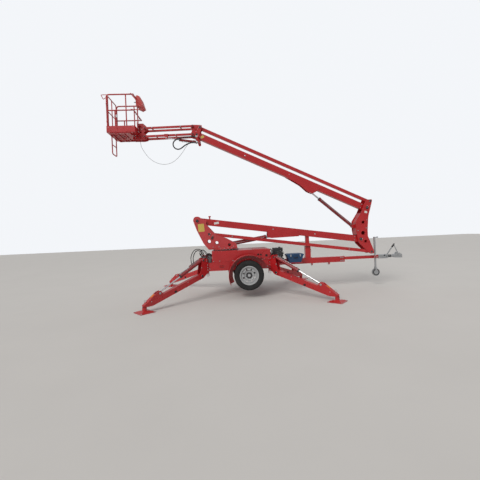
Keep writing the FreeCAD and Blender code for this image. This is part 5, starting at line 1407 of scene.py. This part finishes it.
def consoleParts():
    panel, sticks, zinc, red, lamps, cover = meshes(6)
    back, crest, middle, top = (consoleLook[key] for key in ("back", "crest", "middleY", "panel"))
    face = on(minusX, back, middle, crest - 146)
    sheet(panel, face, 312, 150, 8, top)
    boot = [row for k in range(4) for row in ((22.5 - 3.4 * k, 3 + 5.2 * k), (18.5 - 3.2 * k, 5.6 + 5.2 * k))]
    long = consoleLook["stickLong"]
    for x in consoleLook["sticks"]:
        lathe(sticks, face @ move(x, -12, top), [(23, 0)] + boot + [
            (5, 24), (5, long - 21), (10.5, long - 17), (12.5, long - 8), (9.5, long - 1), (0, long)])
    for k, (x, y) in enumerate(consoleLook["toggles"]):
        toggle = face @ move(x, y, top)
        lathe(zinc, toggle, [(0, 0), (7.8, 0), (7.8, 3), (4.5, 4), (4.5, 7), (0, 7)], 6)
        lathe(zinc, toggle @ spin(14 if k % 2 else -16, "X"), [(2, 6), (2.8, 20), (2.2, 23), (0, 23.5)], 12)
    stop = face @ move(-66, 38, top)
    lathe(zinc, stop, [(0, 0), (17, 0), (17, 3.5), (9, 5), (9, 12)], 28)
    lathe(red, stop, [(8.5, 10), (19, 12), (20.5, 16), (19, 20), (10, 23), (0, 23.5)], 32)
    key = face @ move(130, 48, top)
    lathe(zinc, key, [(0, 0), (11, 0), (11, 4), (7, 5), (0, 5)])
    sheet(zinc, key @ move(0, 0, 5), 3.5, 16, 1.5, 14)
    upper = on((-15, 0, 46), back + 23, middle, crest - 7.5)
    sheet(cover, upper, 316, 36, 5, 1.5)
    for k in range(consoleLook["lamps"]):
        lathe(lamps, upper @ move(-48 + 30 * k, 0, 1.5), [(6.2, 0), (6.2, 1.5), (4.5, 3.2), (0, 3.8)], 20)
    # screws round both ends, vents on the tilted front, clamps of the hooks
    for y in (-190, 150):
        for x, z in ((12, 32), (12, 228), (92, 60), (142, 232), (88, 268)):
            lathe(zinc, wall(back + x, y, crest - z), [(0, 0), (6, 0), (5.2, 2.4), (2, 3), (0, 1.8)], 14)
    front = on((207, 0, 60), back + 136, middle, crest - 141.5)
    sheet(cover, front, 270, 150, 12, 1.6)
    for k in range(consoleLook["vents"]):
        sheet(cover, front @ move(0, -48 + 16 * k, 1.6), 200, 4, 1.8, 1.4)
    for y in (-130, 90):
        clamp = flat(back - 16, y, 4968)
        sheet(zinc, clamp, 28, 34, 4, 3)
        boltHead(zinc, clamp @ move(0, 0, 3), 12)
    piece("consolePanel", panel, "gripRubber", "basket", 0.6)
    piece("consoleCover", cover, "consoleShell", "basket", 0.6)
    piece("consoleSticks", sticks, "gripRubber", "basket", angle=50)
    piece("consoleZinc", zinc, "zincSteel", "basket", 0.3)
    piece("consoleStop", red, "redLens", "basket")
    piece("consoleLamps", lamps, "amberLens", "basket")


def bracketParts():
    zinc, trim = meshes(2)
    for side in sides:
        for x, z, r in ((-2770, 4240, 24), (-2778, 4112, 22), (-2712, 4012, 18), (-2800, 3985, 24)):
            lathe(trim, wall(x, side * 92, z), [(r + 0.2, -2), (r + 0.2, 3), (r + 5, 4), (r + 8, 0.2)], 28)
        for x, z in ((-2690, 4290), (-2740, 4180), (-2900, 3975)):
            boltHead(zinc, wall(x, side * 92, z), 16)
        for y in (130, 175):
            for z in (4100, 4180, 4265):
                boltHead(zinc, on(plusX, -2812, side * y, z), 18)
            for x in (-2925, -2885):
                boltHead(zinc, on(down, x, side * y, 4012), 16)
        weldRun(trim, at(-2811, side * 93, 4050), at(-2811, side * 93, 4318))
    piece("bracketBolts", zinc, "zincSteel", "basket", 0.4)
    piece("bracketTrim", trim, "redPaint", "basket")


consoleParts()
bracketParts()
print("basket and console done")


# The hose beside the jib and the thin grey cable: soft lines through the drawing's points

cordLooks = {
    "jibHose": {"radius": 15, "y": -215, "length": 1.4095, "look": "hoseRubber", "body": "boom_head",
                "node": "jib_hose", "stiffness": "stiff", "points": [
                    (-1362, 3930), (-1540, 3930), (-1720, 3916), (-1810, 3898), (-1885, 3872), (-1945, 3833),
                    (-1975, 3767), (-1963, 3696), (-1915, 3642), (-1846, 3624), (-1777, 3646), (-1685, 3723),
                    (-1576, 3772), (-1462, 3794), (-1358, 3794)]},
    "basketCable": {"radius": 4.5, "y": 165, "length": 2.0312, "look": "cableGrey", "body": "jib_lower",
                    "other": "basket", "node": "basket_cable", "stiffness": "medium", "points": [
                        (-2852, 3976), (-2852, 3856), (-2798, 3743), (-2739, 3641), (-2667, 3548), (-2579, 3464),
                        (-2477, 3403), (-2366, 3363), (-2248, 3350), (-2131, 3371), (-2022, 3423), (-1931, 3497),
                        (-1847, 3585), (-1776, 3680), (-1709, 3780), (-1631, 3870), (-1536, 3958), (-1418, 3958)]},
}


def cord(name, values):
    line = [at(x, values["y"], z) for x, z in values["points"]]
    radius = values["radius"] / 1000
    curve = bpy.data.curves.new(name, "CURVE")
    curve.dimensions = "3D"
    curve.resolution_u = 6
    spline = curve.splines.new("NURBS")
    spline.points.add(len(line) - 1)
    for knot, point in zip(spline.points, line):
        knot.co = (*point, 1.0)
    spline.order_u = 3
    spline.use_endpoint_u = True
    made = bpy.data.objects.new(name, curve)
    collection.objects.link(made)
    path = None
    if "other" in values:
        # both ends move: a tube along the curve's own points, left unattached with its place baked in
        path = [tuple(vertex.co) for vertex in bpy.data.meshes.new_from_object(made).vertices]
        bpy.data.objects.remove(made)
        tube = bmesh.new()
        pipe(tube, [Vector(point) for point in path], values["radius"], 12, soft=False)
        made = piece(name, tube, values["look"], values["body"], angle=60, between=(values["other"], line[-1], line[0]))
    else:
        curve.bevel_depth = radius
        curve.bevel_resolution = 5
        curve.use_fill_caps = True
        curve.materials.append(materials[values["look"]])
        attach(made, values["body"])
    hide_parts(values["node"])


for name, values in cordLooks.items():
    cord(name, values)
print("cords done")


# Camera, from the low roadside stand of the photo: a slight roll, and the horizon just under the middle

cameraPlace = {"distance": 7.85, "height": 1.545, "yaw": 3.0, "roll": 2.5, "ahead": -0.471, "lens": 23.1,
               "sensor": 36.0, "shiftX": -0.0027, "shiftY": -0.0177, "far": 200.0}


def setCamera(place):
    data = bpy.data.cameras.new("camera")
    camera = bpy.data.objects.new("camera", data)
    collection.objects.link(camera)
    yaw = math.radians(place["yaw"])
    forward = Vector((math.sin(yaw), math.cos(yaw), 0))
    right = Vector((math.cos(yaw), -math.sin(yaw), 0))
    turn = Matrix((right, Vector(level), -forward)).transposed().to_4x4()
    camera.matrix_world = turn @ spin(-place["roll"])
    camera.location = -forward * place["distance"] + Vector((place["ahead"], 0, place["height"]))
    data.lens = place["lens"]
    data.sensor_width = place["sensor"]
    data.shift_x = place["shiftX"]
    data.shift_y = place["shiftY"]
    data.clip_end = place["far"]
    bpy.context.scene.camera = camera


setCamera(cameraPlace)


# Floor, sky and lamps of a plain studio

studio = {"floorSize": 60.0, "floorDrop": 0.001, "floorColour": (0.60, 0.575, 0.545), "floorRough": 0.9,
          "skyColour": (0.90, 0.92, 0.95), "skyLight": 0.46}


def setStudio(values):
    mesh = bpy.data.meshes.new("floor")
    half = values["floorSize"] / 2
    mesh.from_pydata([(-half, -half, 0), (half, -half, 0), (half, half, 0), (-half, half, 0)], [], [(0, 1, 2, 3)])
    floor = bpy.data.objects.new("floor", mesh)
    collection.objects.link(floor)
    floor.location.z = -values["floorDrop"]
    material, tree, shader = newMaterial("floorSheet")
    shades = [(0.3, tuple(0.97 * c for c in values["floorColour"])), (0.7, values["floorColour"])]
    tree.links.new(ramp(tree, noise(tree, 0.8), shades), shader.inputs["Base Color"])
    shader.inputs["Roughness"].default_value = values["floorRough"]
    mesh.materials.append(material)
    world = bpy.data.worlds.new("studioSky")
    bpy.context.scene.world = world
    world.use_nodes = True
    tree = world.node_tree
    background = tree.nodes["Background"]
    background.inputs["Color"].default_value = (*values["skyColour"], 1.0)
    # the sky looks brighter than it lights
    path = addNode(tree, "ShaderNodeLightPath")
    strength = span(tree, path.outputs["Is Camera Ray"], values["skyLight"], 1.0, 0.0, 1.0)
    tree.links.new(strength, background.inputs["Strength"])


def hangLamp(kind, name, place, target, size, power, colour):
    data = bpy.data.lights.new(name, kind)
    if kind == "SUN":
        data.angle = math.radians(size)
    else:
        data.size = size
    data.energy = power
    data.color = colour
    lamp = bpy.data.objects.new(name, data)
    collection.objects.link(lamp)
    lamp.location = place
    lamp.rotation_mode = "QUATERNION"
    lamp.rotation_quaternion = (Vector(target) - Vector(place)).to_track_quat("-Z", "Y")


setStudio(studio)
hangLamp("SUN", "keySun", (-6.0, -9.0, 10.5), (0, 0, 1.6), 34.0, 1.75, (1.0, 0.985, 0.96))
hangLamp("SUN", "fillSun", (7.0, 8.0, 7.0), (0, 0, 2.0), 60.0, 0.40, (0.95, 0.97, 1.0))
hangLamp("AREA", "topLamp", (1.0, 1.0, 12.0), (0, 0, 1.5), 9.0, 110.0, (0.96, 0.98, 1.0))
bpy.context.scene.view_settings.view_transform = "Standard"
print("studio set")
